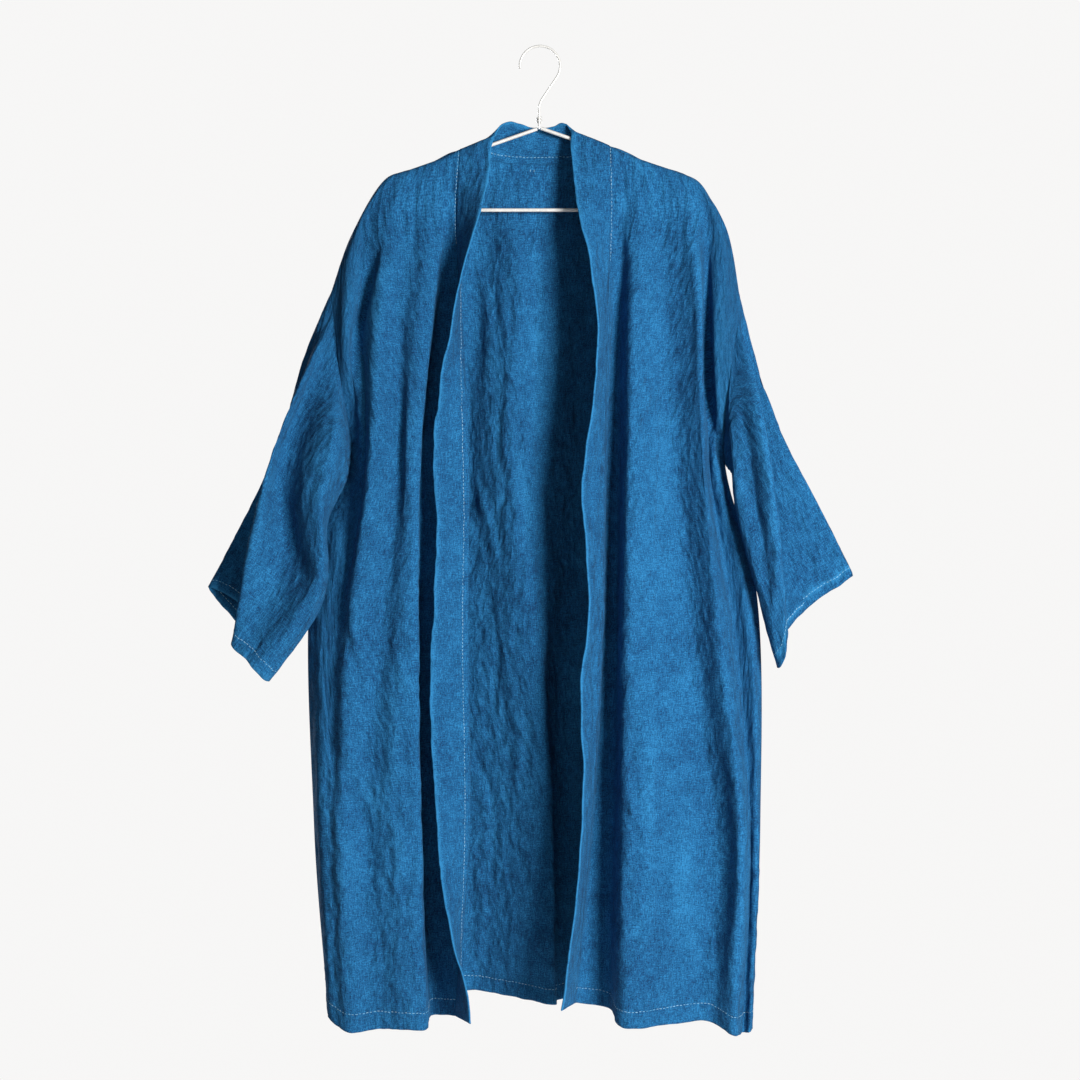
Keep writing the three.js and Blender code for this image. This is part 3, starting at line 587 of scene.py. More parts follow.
def wallMesh(name, grid, normals, outer, inner, closed, uv, wear):
    # both faces of a sheet, with its edges closed; outer and inner are each face's distance from the middle
    rows, columns = grid.shape[:2]
    out = grid + normals * outer[..., None]
    inn = grid - normals * inner[..., None]
    count = rows * columns
    points = [out.reshape(-1, 3), inn.reshape(-1, 3)]
    index = np.arange(count).reshape(rows, columns)
    if closed:
        index = np.concatenate([index, index[:, :1]], axis=1)
    a, b, c, d = index[:-1, :-1], index[1:, :-1], index[1:, 1:], index[:-1, 1:]
    quads = [np.stack([a, b, c, d], axis=-1).reshape(-1, 4),
             np.stack([a, d, c, b], axis=-1).reshape(-1, 4) + count]
    uvs = [uv.reshape(-1, 2), uv.reshape(-1, 2)]
    rubbed = [wear.ravel(), wear.ravel()]
    extra = 2 * count

    def border(line, outward, flip):
        # the cloth's edge, with a middle line that rounds it
        nonlocal extra
        line = np.asarray(line)
        thick = (outer.reshape(-1)[line % count] + inner.reshape(-1)[line % count])[:, None]
        middle = (out.reshape(-1, 3)[line] + inn.reshape(-1, 3)[line]) / 2
        middle = middle + outward * thick * cloth["edgeRound"]
        points.append(middle)
        uvs.append(uv.reshape(-1, 2)[line])
        rubbed.append(wear.ravel()[line])
        fresh = np.arange(len(line)) + extra
        extra += len(line)
        for one, two in ((line, fresh), (fresh, line + count)):
            strip = np.stack([one[:-1], two[:-1], two[1:], one[1:]], axis=-1)
            quads.append(strip[:, ::-1] if flip else strip)

    def away(edgeLine, insideLine):
        step = grid.reshape(-1, 3)[edgeLine] - grid.reshape(-1, 3)[insideLine]
        return step / np.maximum(np.linalg.norm(step, axis=-1, keepdims=True), 1e-9)

    border(index[0], away(index[0], index[1]), True)
    border(index[-1], away(index[-1], index[-2]), False)
    if not closed:
        border(index[:, 0], away(index[:, 0], index[:, 1]), False)
        border(index[:, -1], away(index[:, -1], index[:, -2]), True)
    piece = newPiece(name, np.concatenate(points), np.concatenate(quads).tolist())
    addClothData(piece.data, np.concatenate(uvs), np.concatenate(rubbed))
    closeSeams(piece)
    return piece


def newPiece(name, points, faces):
    mesh = bpy.data.meshes.new(name)
    mesh.from_pydata((points * mm).tolist(), [], faces)
    mesh.polygons.foreach_set("use_smooth", [True] * len(mesh.polygons))
    mesh.update()
    piece = bpy.data.objects.new(name, mesh)
    bpy.context.collection.objects.link(piece)
    return piece


def addClothData(mesh, uvs, wear):
    # each corner's place in the flat cloth, in metres, and how worn each point is
    layer = mesh.uv_layers.new(name="cloth")
    loops = np.empty(len(mesh.loops), dtype=np.int32)
    mesh.loops.foreach_get("vertex_index", loops)
    layer.data.foreach_set("uv", (uvs[loops] * mm).astype(np.float32).ravel())
    worn = mesh.attributes.new("wear", "FLOAT", "POINT")
    worn.data.foreach_set("value", wear.astype(np.float32))


def closeSeams(piece):
    # welds the doubled points at the corners and turns every face outwards
    bpy.ops.object.select_all(action="DESELECT")
    piece.select_set(True)
    bpy.context.view_layer.objects.active = piece
    bpy.ops.object.mode_set(mode="EDIT")
    bpy.ops.mesh.select_all(action="SELECT")
    bpy.ops.mesh.remove_doubles(threshold=weldReach)
    bpy.ops.mesh.normals_make_consistent(inside=False)
    bpy.ops.object.mode_set(mode="OBJECT")
    piece.select_set(False)


linenLook = {
    "deep": (0.0030, 0.024, 0.076),     # where the dye took well
    "middle": (0.0062, 0.070, 0.182),
    "faded": (0.0170, 0.142, 0.318),    # worn and rubbed
    "spread": (0.42, 0.58),             # the sums at which the dye is deep and faded
    "slubs": (1000, 105),               # to the metre, across and along a thread
    "speckles": 650,                    # to the metre, as are the next two
    "rubs": 45,
    "clouds": 7,
    "weights": {"warp": 0.26, "weft": 0.20, "speckle": 0.34, "rub": 0.12, "cloud": 0.08, "wear": 0.09},
    "threadPitch": 0.0008,              # metres
    "roughness": 0.9,
    "specular": 0.12,
    "sheen": 0.02,
    "sheenTint": (0.4, 0.65, 0.95),
    "weaveHeight": 0.0004,
    "creaseHeight": 0.0024,
    "creases": [                        # creases to the metre across and along, turn in degrees, strength
        (38, 15, 8, 0.8),
        (55, 27, -28, 0.6),
        (58, 30, 32, 0.5),
        (95, 60, 0, 0.3),
    ],
}


def addNode(tree, kind, place, **settings):
    node = tree.nodes.new(kind)
    node.location = place
    for key, value in settings.items():
        setattr(node, key, value)
    return node


def addNoise(tree, source, place, scale, detail, stretch=(1, 1), turn=0):
    mapping = addNode(tree, "ShaderNodeMapping", (place[0] - 200, place[1]))
    mapping.inputs["Scale"].default_value = (*stretch, 1)
    mapping.inputs["Rotation"].default_value = (0, 0, math.radians(turn))
    noise = addNode(tree, "ShaderNodeTexNoise", place)
    noise.inputs["Scale"].default_value = scale
    noise.inputs["Detail"].default_value = detail
    noise.inputs["Roughness"].default_value = 0.6
    tree.links.new(source, mapping.inputs["Vector"])
    tree.links.new(mapping.outputs[0], noise.inputs["Vector"])
    return noise.outputs[0]


def addWeighted(tree, place, parts):
    # adds up sockets, each times its weight
    total = None
    for number, (socket, weight) in enumerate(parts):
        kind = "MULTIPLY" if total is None else "MULTIPLY_ADD"
        spot = (place[0] + 60 * number, place[1] - 40 * number)
        node = addNode(tree, "ShaderNodeMath", spot, operation=kind)
        tree.links.new(socket, node.inputs[0])
        node.inputs[1].default_value = weight
        if total is not None:
            tree.links.new(total, node.inputs[2])
        total = node.outputs[0]
    return total


def addRamp(tree, source, place, positions, colours):
    # a colour ramp between two colours, at the given positions
    ramp = addNode(tree, "ShaderNodeValToRGB", place)
    for number in (0, 1):
        ramp.color_ramp.elements[number].position = positions[number]
        ramp.color_ramp.elements[number].color = (*colours[number], 1)
    tree.links.new(source, ramp.inputs[0])
    return ramp


def newMaterial(name):
    material = bpy.data.materials.new(name)
    material.use_nodes = True
    return material, material.node_tree, material.node_tree.nodes["Principled BSDF"]


def linenMaterial(name):
    # plain-woven linen: slubs along both threads, cloudy dye, and a bump from the weave
    material, tree, shader = newMaterial(name)
    shader.inputs["Roughness"].default_value = linenLook["roughness"]
    shader.inputs["Specular IOR Level"].default_value = linenLook["specular"]
    shader.inputs["Sheen Weight"].default_value = linenLook["sheen"]
    shader.inputs["Sheen Roughness"].default_value = 0.5
    shader.inputs["Sheen Tint"].default_value = (*linenLook["sheenTint"], 1)
    flat = addNode(tree, "ShaderNodeUVMap", (-1700, 0), uv_map="cloth").outputs[0]
    fine, long = linenLook["slubs"]
    warpSlubs = addNoise(tree, flat, (-1200, 500), 1, 3, (fine, long))
    weftSlubs = addNoise(tree, flat, (-1200, 250), 1, 3, (long, fine))
    speckle = addNoise(tree, flat, (-1200, 0), linenLook["speckles"], 3)
    rubbed = addNoise(tree, flat, (-1200, -250), linenLook["rubs"], 6)
    clouds = addNoise(tree, flat, (-1200, -500), linenLook["clouds"], 3)
    worn = addNode(tree, "ShaderNodeAttribute", (-1200, 750), attribute_name="wear").outputs["Fac"]
    weights = linenLook["weights"]
    dye = addWeighted(tree, (-900, 300), [
        (warpSlubs, weights["warp"]), (weftSlubs, weights["weft"]), (speckle, weights["speckle"]),
        (rubbed, weights["rub"]), (clouds, weights["cloud"]), (worn, weights["wear"])])
    ramp = addRamp(tree, dye, (-500, 200), linenLook["spread"], (linenLook["deep"], linenLook["faded"]))
    ramp.color_ramp.elements.new(0.5).color = (*linenLook["middle"], 1)
    tree.links.new(ramp.outputs[0], shader.inputs["Base Color"])
    threads = []
    for number, direction in enumerate("XY"):
        wave = addNode(tree, "ShaderNodeTexWave", (-1200, -750 - 300 * number), bands_direction=direction)
        wave.inputs["Scale"].default_value = math.pi / 10 / linenLook["threadPitch"]
        wave.inputs["Distortion"].default_value = 1.5
        wave.inputs["Detail"].default_value = 1
        tree.links.new(flat, wave.inputs["Vector"])
        threads.append((wave.outputs[1], 0.4))
    height = addWeighted(tree, (-800, -500), threads + [(warpSlubs, 0.8), (weftSlubs, 0.8), (rubbed, 0.9)])
    bump = addNode(tree, "ShaderNodeBump", (-300, -400))
    bump.inputs["Strength"].default_value = 0.8
    bump.inputs["Distance"].default_value = linenLook["weaveHeight"]
    tree.links.new(height, bump.inputs["Height"])
    creases = addNode(tree, "ShaderNodeBump", (-500, -700))
    creases.inputs["Distance"].default_value = linenLook["creaseHeight"]
    tree.links.new(sharpCreases(tree, flat), creases.inputs["Height"])
    tree.links.new(creases.outputs[0], bump.inputs["Normal"])
    tree.links.new(bump.outputs[0], shader.inputs["Normal"])
    return material


def sharpCreases(tree, flat):
    # small crests where a stretched noise crosses its middle value
    crests = []
    for number, (across, along, turn, strength) in enumerate(linenLook["creases"]):
        row = -1500 - 250 * number
        noise = addNoise(tree, flat, (-1200, row), 1, 1, (across, along), turn)
        middle = addNode(tree, "ShaderNodeMath", (-1000, row), operation="SUBTRACT")
        middle.inputs[1].default_value = 0.5
        tree.links.new(noise, middle.inputs[0])
        crest = addNode(tree, "ShaderNodeMath", (-850, row), operation="ABSOLUTE")
        tree.links.new(middle.outputs[0], crest.inputs[0])
        crests.append((crest.outputs[0], -4 * strength))
    return addWeighted(tree, (-700, -1500), crests)


threadLook = {
    "stained": (0.08, 0.26, 0.40),
    "clean": (0.28, 0.46, 0.58),
    "spread": (0.35, 0.62),
    "stains": 60,           # to the metre
    "roughness": 0.7,
}
steelLook = {
    "dull": (0.42, 0.42, 0.41),
    "bright": (0.66, 0.66, 0.65),
    "scuffs": 260,          # to the metre
    "roughness": (0.25, 0.5),
    "metallic": 0.2,
}


def threadMaterial():
    # sewing thread, pale blue from the dye that rubbed onto it
    material, tree, shader = newMaterial("pale sewing thread")
    shader.inputs["Roughness"].default_value = threadLook["roughness"]
    places = addNode(tree, "ShaderNodeTexCoord", (-1100, 0)).outputs["Object"]
    stain = addNoise(tree, places, (-800, 0), threadLook["stains"], 3)
    ramp = addRamp(tree, stain, (-400, 0), threadLook["spread"], (threadLook["stained"], threadLook["clean"]))
    tree.links.new(ramp.outputs[0], shader.inputs["Base Color"])
    return material


def steelMaterial():
    # drawn steel wire, pale, with faint scuffs
    material, tree, shader = newMaterial("hanger steel")
    shader.inputs["Metallic"].default_value = steelLook["metallic"]
    places = addNode(tree, "ShaderNodeTexCoord", (-1100, 0)).outputs["Object"]
    scuffs = addNoise(tree, places, (-800, 0), steelLook["scuffs"], 4)
    shade = addRamp(tree, scuffs, (-400, 100), (0, 1), (steelLook["dull"], steelLook["bright"]))
    polish = addNode(tree, "ShaderNodeMapRange", (-400, -200))
    polish.inputs["To Min"].default_value, polish.inputs["To Max"].default_value = steelLook["roughness"]
    tree.links.new(scuffs, polish.inputs["Value"])
    tree.links.new(shade.outputs[0], shader.inputs["Base Color"])
    tree.links.new(polish.outputs[0], shader.inputs["Roughness"])
    return material


linen = linenMaterial("indigo linen")
thread = threadMaterial()
steel = steelMaterial()
print("materials ready")


cloth = {
    "layer": 1.1,           # mm, one layer of linen
    "band": 2.0,            # the collar, folded double
    "hemThick": 0.9,        # what a turned-up layer adds
    "seamPart": 0.15,       # each piece stops this short of its seam
    "edgeRound": 0.35,      # how far an edge bulges, in thicknesses
    "waver": 1.6,           # how far a free edge strays in the cloth's plane, and out of it
    "waverPitch": (38, 13),
    "flutter": 2.2,
    "flutterPitch": 52,
    "waverReach": 22,
    "edgeFade": 10,         # crumple dies away this near a seam
    "pucker": 1.0,          # where a seam's thread draws the cloth in
    "hemPucker": 0.8,
    "puckerPitch": 16,
    "puckerReach": 20,
    "slackFrom": (120, 700),    # how far down the cloth its slack goes from the first value to the second
    "ringJoin": 20,         # a closed ring's ends are kept from straying this near its join
    "wearReach": 3,
    "wearHeight": 4,        # a crest this high is fully worn
}
hangingCrumple = [          # across mm, along mm, turn, height mm
    (46, 160, 4, 2.0),
    (25, 66, -13, -2.4),
    (21, 40, 32, -2.0),
    (15, 28, -36, -1.6),
    (10, 18, 12, -0.9),
]


def ruffled(grid, spec):
    # a sheet's middle surface with its crumple, its creases and its puckered seams
    u, v, width, length = clothPlaces(grid)
    seed = spec["seed"]
    runs = {"left": u, "right": width - u, "top": v}
    quiet = np.ones_like(u)
    pucker = np.zeros_like(u)
    for side in spec["seams"]:
        quiet = np.minimum(quiet, easeIn(runs[side], 0, cloth["edgeFade"]))
        along = v if side != "top" else u
        pull = np.exp(-(runs[side] / cloth["puckerReach"]) ** 2) * easeIn(runs[side], 0.5, 6)
        pucker += pull * swells(along / cloth["puckerPitch"], runs[side] / 60, seed + 7)
    if spec["hem"]:
        # the hem's stitches draw it in unevenly
        above = v - (length - spec["hem"])
        pull = cloth["hemPucker"] * np.exp(-(above / cloth["puckerReach"]) ** 2)
        pucker += pull * swells(u / cloth["puckerPitch"], v / 50, seed + 9)
    slack = spec["slack"][0] + (spec["slack"][1] - spec["slack"][0]) * easeIn(v, *cloth["slackFrom"])
    height = crumple(u, v, spec["crumple"], seed) * slack + creaseHeights(grid, spec["creases"])
    if spec["closed"]:
        # the two ends of the ring's crumple are eased into each other
        share = easeIn(u, width * 0.8, width)
        height = height * (1 - share) + crumple(u - width, v, spec["crumple"], seed) * slack * share
    normals = faceNormals(grid, spec["closed"]) * spec["facing"]
    raised = grid + normals * (height * quiet + pucker * cloth["pucker"])[..., None]
    # a free edge strays a little in its own plane, and flutters out of it
    freeEdge, along = (length - v, u) if spec["hem"] else (width - u, v)
    longPitch, shortPitch = cloth["waverPitch"]
    stray = (swells(along / longPitch, freeEdge / 200, seed + 13)
             + 0.5 * swells(along / shortPitch, freeEdge / 90, seed + 14))
    flutter = swells(along / cloth["flutterPitch"], freeEdge / 120, seed + 15)
    if spec["closed"]:
        ends = easeIn(u, 0, cloth["ringJoin"]) * easeIn(width - u, 0, cloth["ringJoin"])
        stray, flutter = stray * ends, flutter * ends
    outward = np.gradient(grid, axis=0 if spec["hem"] else 1)
    outward /= np.linalg.norm(outward, axis=-1, keepdims=True)
    nearEdge = np.exp(-(freeEdge / cloth["waverReach"]) ** 2)
    raised += outward * (stray * nearEdge * cloth["waver"])[..., None]
    raised += normals * (flutter * nearEdge * cloth["flutter"])[..., None]
    wear = (np.exp(-(freeEdge / cloth["wearReach"]) ** 2)
            + 0.5 * np.clip(height / cloth["wearHeight"], 0, 1) + 0.3 * np.clip(pucker, 0, 1))
    print(spec["name"], "lies about", round(width), "by", round(length), "mm flat")
    return raised, u, v, length, wear


def sewSheet(spec, grid):
    # crumples the sheet, gives it its wall and its turned-up hem, and puts it on its body
    closed = spec["closed"]
    if closed:
        middle = grid.mean(axis=1, keepdims=True)
        spec["facing"] = np.sign(((grid - middle) * faceNormals(grid, True)).sum())
    grid, u, v, length, wear = ruffled(grid, spec)
    for side in spec["seams"]:
        edge, inside = {"left": ((slice(None), 0), (slice(None), 1)),
                        "right": ((slice(None), -1), (slice(None), -2)),
                        "top": ((0,), (1,))}[side]
        step = grid[inside] - grid[edge]
        grid[edge] += step / np.linalg.norm(step, axis=-1, keepdims=True) * cloth["seamPart"]
    normals = faceNormals(grid, closed) * spec["facing"]
    half = np.full(u.shape, spec["layer"] / 2)
    turnedUp = easeIn(v, length - spec["hem"] - 2, length - spec["hem"]) if spec["hem"] else 0
    piece = wallMesh(spec["name"], grid, normals, half, half + turnedUp * cloth["hemThick"], closed,
                     np.stack([u, v], axis=-1), wear)
    piece.data.materials.append(linen)
    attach(piece, "root")
    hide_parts(spec["name"])
    print(spec["name"], "sewn,", len(piece.data.polygons), "faces")
    return {"name": spec["name"], "piece": piece, "grid": grid, "normals": normals,
            "half": spec["layer"] / 2, "hem": spec["hem"]}


backGrid = panelGrid(backFolds, clothCell["back"], 1)
frontRightGrid = panelGrid(frontRightFolds, clothCell["frontRight"], -1)
frontLeftGrid = panelGrid(frontLeftFolds, clothCell["frontLeft"], -1)
meetAtSide(frontRightGrid, backGrid, 0)
meetAtSide(frontLeftGrid, backGrid, -1)
meetAtShoulder(frontRightGrid, backGrid)
meetAtShoulder(frontLeftGrid, backGrid)
sleeveRightGrid = sleeveGrid(rightSleeveLines, frontRightGrid, backGrid, 0)
sleeveLeftGrid = sleeveGrid(leftSleeveLines, frontLeftGrid, backGrid, -1)
collarSheet, collarMarks = collarGrid(frontRightGrid, frontLeftGrid, backGrid)

panel = {"closed": False, "layer": cloth["layer"], "hem": 20, "seams": ("left", "right", "top"),
         "crumple": hangingCrumple}
sleeve = {"closed": True, "layer": cloth["layer"], "hem": 11, "seams": ("top",), "slack": (0.55, 0.7),
          "crumple": [(36, 90, 10, 2.0), (22, 46, -26, -2.6), (17, 32, 34, -2.2), (11, 18, 5, -1.1)]}
# a crease is its width and depth in mm, and the places (x, z) that it runs through
backSpec = panel | {
    "name": "back", "facing": -1, "seed": 11, "slack": (0.8, 1.1),
    "creases": [
        # inside, between the fronts: a negative depth stands toward the wearer
        (6, -4, [(-70, -240), (-61, -330), (-66, -430)]),
        (7, 4, [(-54, -290), (-45, -380), (-50, -470), (-40, -560)]),
        (6, -3.5, [(-32, -232), (-22, -300), (-27, -390)]),
        (7, 3.5, [(-9, -225), (2, -290), (-2, -360), (8, -450)]),
        (6, -4.5, [(-80, -510), (-62, -566), (-48, -640)]),
        (7, 4, [(-30, -470), (-14, -540), (-20, -640)]),
        (7, 4, [(-68, -640), (-51, -720), (-57, -810)]),
        (7, -4, [(-40, -740), (-24, -830), (-29, -930)]),
        (6, 3.5, [(-74, -850), (-55, -930), (-61, -1020)]),
        (7, 3.5, [(-24, -960), (-9, -1030), (-15, -1120)]),
        (6, -3, [(10, -560), (17, -640), (9, -750)]),
        (6, -4, [(-84, -960), (-68, -1040), (-76, -1110)]),
        # behind, over the shoulder blades and down to the hem
        (12, 6, [(-204, -262), (-184, -360), (-190, -480)]),
        (10, -6, [(-152, -215), (-140, -330), (-153, -450)]),
        (11, 6, [(148, -225), (162, -340), (150, -480)]),
        (10, -7, [(208, -285), (196, -380), (207, -485)]),
        (14, 6, [(-224, -640), (-197, -760), (-207, -900)]),
        (12, -6, [(-122, -540), (-111, -700), (-127, -870)]),
        (13, 6, [(108, -590), (123, -740), (112, -910)]),
        (14, -7, [(192, -700), (206, -840), (193, -1010)]),
        (10, 5, [(-174, -950), (-160, -1050), (-171, -1140)]),
        (9, 5, [(60, -970), (73, -1060), (64, -1150)]),
        (9, 5, [(232, -640), (222, -740), (236, -860)]),
    ],
}
frontRightSpec = panel | {
    "name": "front_right", "facing": 1, "seed": 23, "slack": (0.2, 0.75),
    "creases": [
        # the drag from the hanger's end to the armpit, and the ridge beside it
        (8, -13, [(-192, -235), (-203, -290), (-216, -350), (-221, -410), (-219, -490)]),
        (14, 6, [(-184, -270), (-196, -350), (-204, -430), (-208, -520)]),
        (12, -5, [(-166, -300), (-168, -420), (-163, -560), (-166, -700)]),
        # slack between the waist and the hem
        (15, -7, [(-250, -810), (-222, -890), (-200, -960), (-214, -1040)]),
        (7, -5, [(-150, -920), (-147, -960), (-160, -1020)]),
        (10, -4, [(-236, -640), (-228, -700), (-212, -760)]),
        (9, 4, [(-246, -560), (-236, -610), (-240, -680)]),
        (16, 4, [(-180, -760), (-172, -850), (-184, -930)]),
    ],
}
frontLeftSpec = panel | {
    "name": "front_left", "facing": -1, "seed": 37, "slack": (0.2, 0.8),
    "creases": [
        # short drags from the neck point
        (6, 4, [(100, -126), (118, -146), (134, -176), (142, -204)]),
        (6, 3.5, [(112, -130), (134, -150), (152, -178)]),
        (7, 4, [(92, -170), (104, -214), (110, -262)]),
        # the soft valley down from the shoulder, and the sharp one by the armhole
        (19, -9, [(156, -160), (172, -268), (186, -376), (192, -508), (210, -720)]),
        (7, -12, [(199, -215), (201, -290), (203, -376), (208, -450), (224, -510), (240, -580)]),
        (7, 5, [(186, -250), (190, -330), (194, -420), (204, -500)]),
        (17, -8, [(210, -840), (222, -960), (206, -1130)]),
        (12, 4, [(132, -700), (130, -860), (128, -1090)]),
        (14, 4, [(176, -900), (168, -990), (176, -1080)]),
    ],
}
sleeveRightSpec = sleeve | {
    "name": "sleeve_right", "seed": 41,
    "creases": [
        (20, -9, [(-268, -420), (-296, -510), (-300, -575), (-284, -620), (-262, -655)]),
        (8, 3, [(-300, -450), (-322, -520), (-338, -590), (-362, -690)]),
    ],
}
sleeveLeftSpec = sleeve | {
    "name": "sleeve_left", "seed": 59,
    "creases": [
        (7, 4, [(250, -400), (264, -480), (276, -560), (288, -660)]),
        (9, -6, [(238, -430), (250, -520), (262, -600), (272, -680)]),
    ],
}
collarSpec = {
    "name": "collar", "closed": False, "facing": 1, "seed": 67, "layer": cloth["band"], "hem": 0,
    "seams": ("left",), "crumple": [(30, 60, 0, 0.6), (14, 26, 20, -0.8)], "slack": (0.8, 0.8),
    "creases": [
        # drags across the turned-out lapel, and dents down the band
        (5, 1.5, [(-130, -420), (-118, -440), (-100, -452)]),
        (6, -1.6, [(-132, -610), (-116, -622), (-98, -650)]),
        (5, 1.5, [(-134, -800), (-120, -824), (-102, -836)]),
        (6, -1.5, [(-128, -980), (-114, -990), (-98, -1016)]),
        (4, 1.2, [(86, -300), (90, -380), (86, -460)]),
        (5, -1.4, [(78, -620), (74, -720), (76, -800)]),
    ],
}
back = sewSheet(backSpec, backGrid)
frontRight = sewSheet(frontRightSpec, frontRightGrid)
frontLeft = sewSheet(frontLeftSpec, frontLeftGrid)
sleeveRight = sewSheet(sleeveRightSpec, sleeveRightGrid)
sleeveLeft = sewSheet(sleeveLeftSpec, sleeveLeftGrid)
collar = sewSheet(collarSpec, collarSheet)


stitch = {
    "length": 3.1,
    "lengthSpread": (0.8, 1.1),
    "thick": 0.62,
    "flatness": 0.7,
    "pitch": 4.4,
    "firstStart": 0.15,     # in pitches
    "stray": 0.25,
    "slant": 0.05,
    "proud": 0.12,
    "hemInset": 1,          # below a hem's turned-in edge
    "yokeInset": 1.5,
    "yokeRight": 120,       # how far down each front its stitches show
    "yokeLeft": 150,
    "bandInset": 8,
    "tackPlaces": (-12, -7),
    "tackRows": slice(5, 9),
    "tackProud": 0.2,
}


def lineDown(sheet, side, inset, face=1):
    # a line of places down a sheet, at an inset from one side edge, on its outer or inner face
    grid, normals = sheet["grid"], sheet["normals"]
    columns = grid.shape[1]
    widths = np.linalg.norm(np.diff(grid, axis=1), axis=-1).sum(axis=1)
    places = inset / widths * (columns - 1)
    if side == "right":
        places = columns - 1 - places
    low = np.clip(places.astype(int), 0, columns - 2)
    share = (places - low)[:, None]
    rows = np.arange(len(grid))
    points = grid[rows, low] * (1 - share) + grid[rows, low + 1] * share
    facing = (normals[rows, low] * (1 - share) + normals[rows, low + 1] * share) * face
    return points + facing * (sheet["half"] + stitch["proud"]), facing


def lineAcross(sheet, inset, face=1):
    # a line of places across a sheet, at an inset from its bottom edge
    turned = {"grid": sheet["grid"].transpose(1, 0, 2)[:, ::-1], "half": sheet["half"],
              "normals": sheet["normals"].transpose(1, 0, 2)[:, ::-1]}
    if face < 0:
        turned["half"] = sheet["half"] + cloth["hemThick"]
    return lineDown(turned, "left", inset, face)


def stitchShape():
    bpy.ops.object.select_all(action="DESELECT")
    bpy.ops.mesh.primitive_uv_sphere_add(segments=6, ring_count=4, radius=0.5)
    shape = bpy.context.active_object
    bpy.ops.object.mode_set(mode="EDIT")
    bpy.ops.mesh.select_all(action="SELECT")
    bpy.ops.transform.rotate(value=math.pi / 2, orient_axis="Y", center_override=(0, 0, 0))
    bpy.ops.object.mode_set(mode="OBJECT")
    points = np.array([v.co[:] for v in shape.data.vertices])
    faces = [list(p.vertices) for p in shape.data.polygons]
    bpy.data.objects.remove(shape)
    # full along most of its length, with blunt ends
    points[:, 0] = np.sign(points[:, 0]) * np.abs(points[:, 0] * 2) ** 0.6 / 2
    return points, faces


def sewLines(name, lines, seed):
    # running stitches along each line, joined into one piece
    rng = np.random.default_rng(seed)
    shape, shapeFaces = stitchShape()
    points, faces = [], []
    for line, facing in lines:
        run = lengthsAlong(line)
        count = int(run[-1] / stitch["pitch"])
        starts = (np.arange(count) + stitch["firstStart"]) * stitch["pitch"]
        for start in starts:
            size = stitch["length"] * rng.uniform(*stitch["lengthSpread"])
            tail, head = placeOn(line, run, start), placeOn(line, run, start + size)
            up = placeOn(facing, run, start + size / 2)
            ahead = head - tail
            ahead /= max(np.linalg.norm(ahead), 1e-9)
            side = np.cross(up, ahead)
            side /= max(np.linalg.norm(side), 1e-9)
            ahead = ahead + side * rng.normal(0, stitch["slant"])
            up = np.cross(ahead, side)
            centre = (tail + head) / 2 + side * rng.normal(0, stitch["stray"])
            base = len(points) * len(shape)
            points.append(centre + shape[:, :1] * size * ahead + shape[:, 1:2] * stitch["thick"] * side
                          + shape[:, 2:] * stitch["thick"] * stitch["flatness"] * up)
            faces += [[base + corner for corner in face] for face in shapeFaces]
    piece = newPiece(name, np.concatenate(points), faces)
    piece.data.materials.append(thread)
    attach(piece, "root")
    print(name, "sewn,", len(points), "stitches")
    return piece


def placeOn(values, run, at):
    # a line's value at a length along it
    return np.array([np.interp(at, run, values[:, c]) for c in range(3)])


def ringed(line):
    points, facing = line
    return np.concatenate([points, points[:1]]), np.concatenate([facing, facing[:1]])


def shortened(line, length):
    # the first part of a line, as far as its stitches show
    points, facing = line
    kept = lengthsAlong(points) < length
    return points[kept], facing[kept]


for name, sheet, seed in (("back", back, 3), ("front_right", frontRight, 4), ("front_left", frontLeft, 5)):
    lines = [lineAcross(sheet, sheet["hem"] - stitch["hemInset"], face) for face in (1, -1)]
    sewLines(name + "_hem_stitches", lines, seed)
for name, sheet, seed in (("sleeve_right", sleeveRight, 6), ("sleeve_left", sleeveLeft, 7)):
    lines = [ringed(lineAcross(sheet, sheet["hem"] - stitch["hemInset"], face)) for face in (1, -1)]
    sewLines(name + "_cuff_stitches", lines, seed)

# two lone threads inside the back's neck, where something was once tacked on
tacks = []
for place in stitch["tackPlaces"]:
    column = int(np.argmin(np.abs(back["grid"][0, :, 0] - place)))
    inward = -back["normals"][stitch["tackRows"], column]
    points = back["grid"][stitch["tackRows"], column] + inward * (back["half"] + stitch["tackProud"])
    tacks.append((points, inward))
collarStitches = sewLines("collar_stitches", [
    shortened(lineDown(frontRight, "right", stitch["yokeInset"]), stitch["yokeRight"]),
    shortened(lineDown(frontLeft, "right", stitch["yokeInset"]), stitch["yokeLeft"]),
    lineDown(collar, "left", stitch["bandInset"])] + tacks, 8)


def startWire(name, radius, x, z, heading):
    # the round end that a wire is drawn from, heading in degrees: 0 along +X, 90 straight up
    bpy.ops.object.select_all(action="DESELECT")
    bpy.ops.mesh.primitive_circle_add(vertices=14, radius=radius * mm, fill_type="NGON",
                                      location=(x * mm, 0, z * mm),
                                      rotation=(0, math.radians(90 - heading), 0))
    wire = bpy.context.active_object
    wire.name = name
    bpy.ops.object.transform_apply(location=True, rotation=True, scale=True)
    bpy.ops.object.mode_set(mode="EDIT")
    bpy.ops.mesh.select_all(action="SELECT")
    return wire


def drawStraight(length, heading):
    step = [math.cos(math.radians(heading)) * length * mm, 0, math.sin(math.radians(heading)) * length * mm]
    bpy.ops.mesh.extrude_region_move(TRANSFORM_OT_translate={"value": step})


def drawBend(x, z, sweep):
    # turns the wire's end about a centre; a positive sweep is counter-clockwise from the front
    bpy.ops.mesh.spin(steps=max(3, round(abs(sweep) / hangerShape["bendStep"])), angle=math.radians(sweep),
                      center=(x * mm, 0, z * mm), axis=(0, 1, 0))


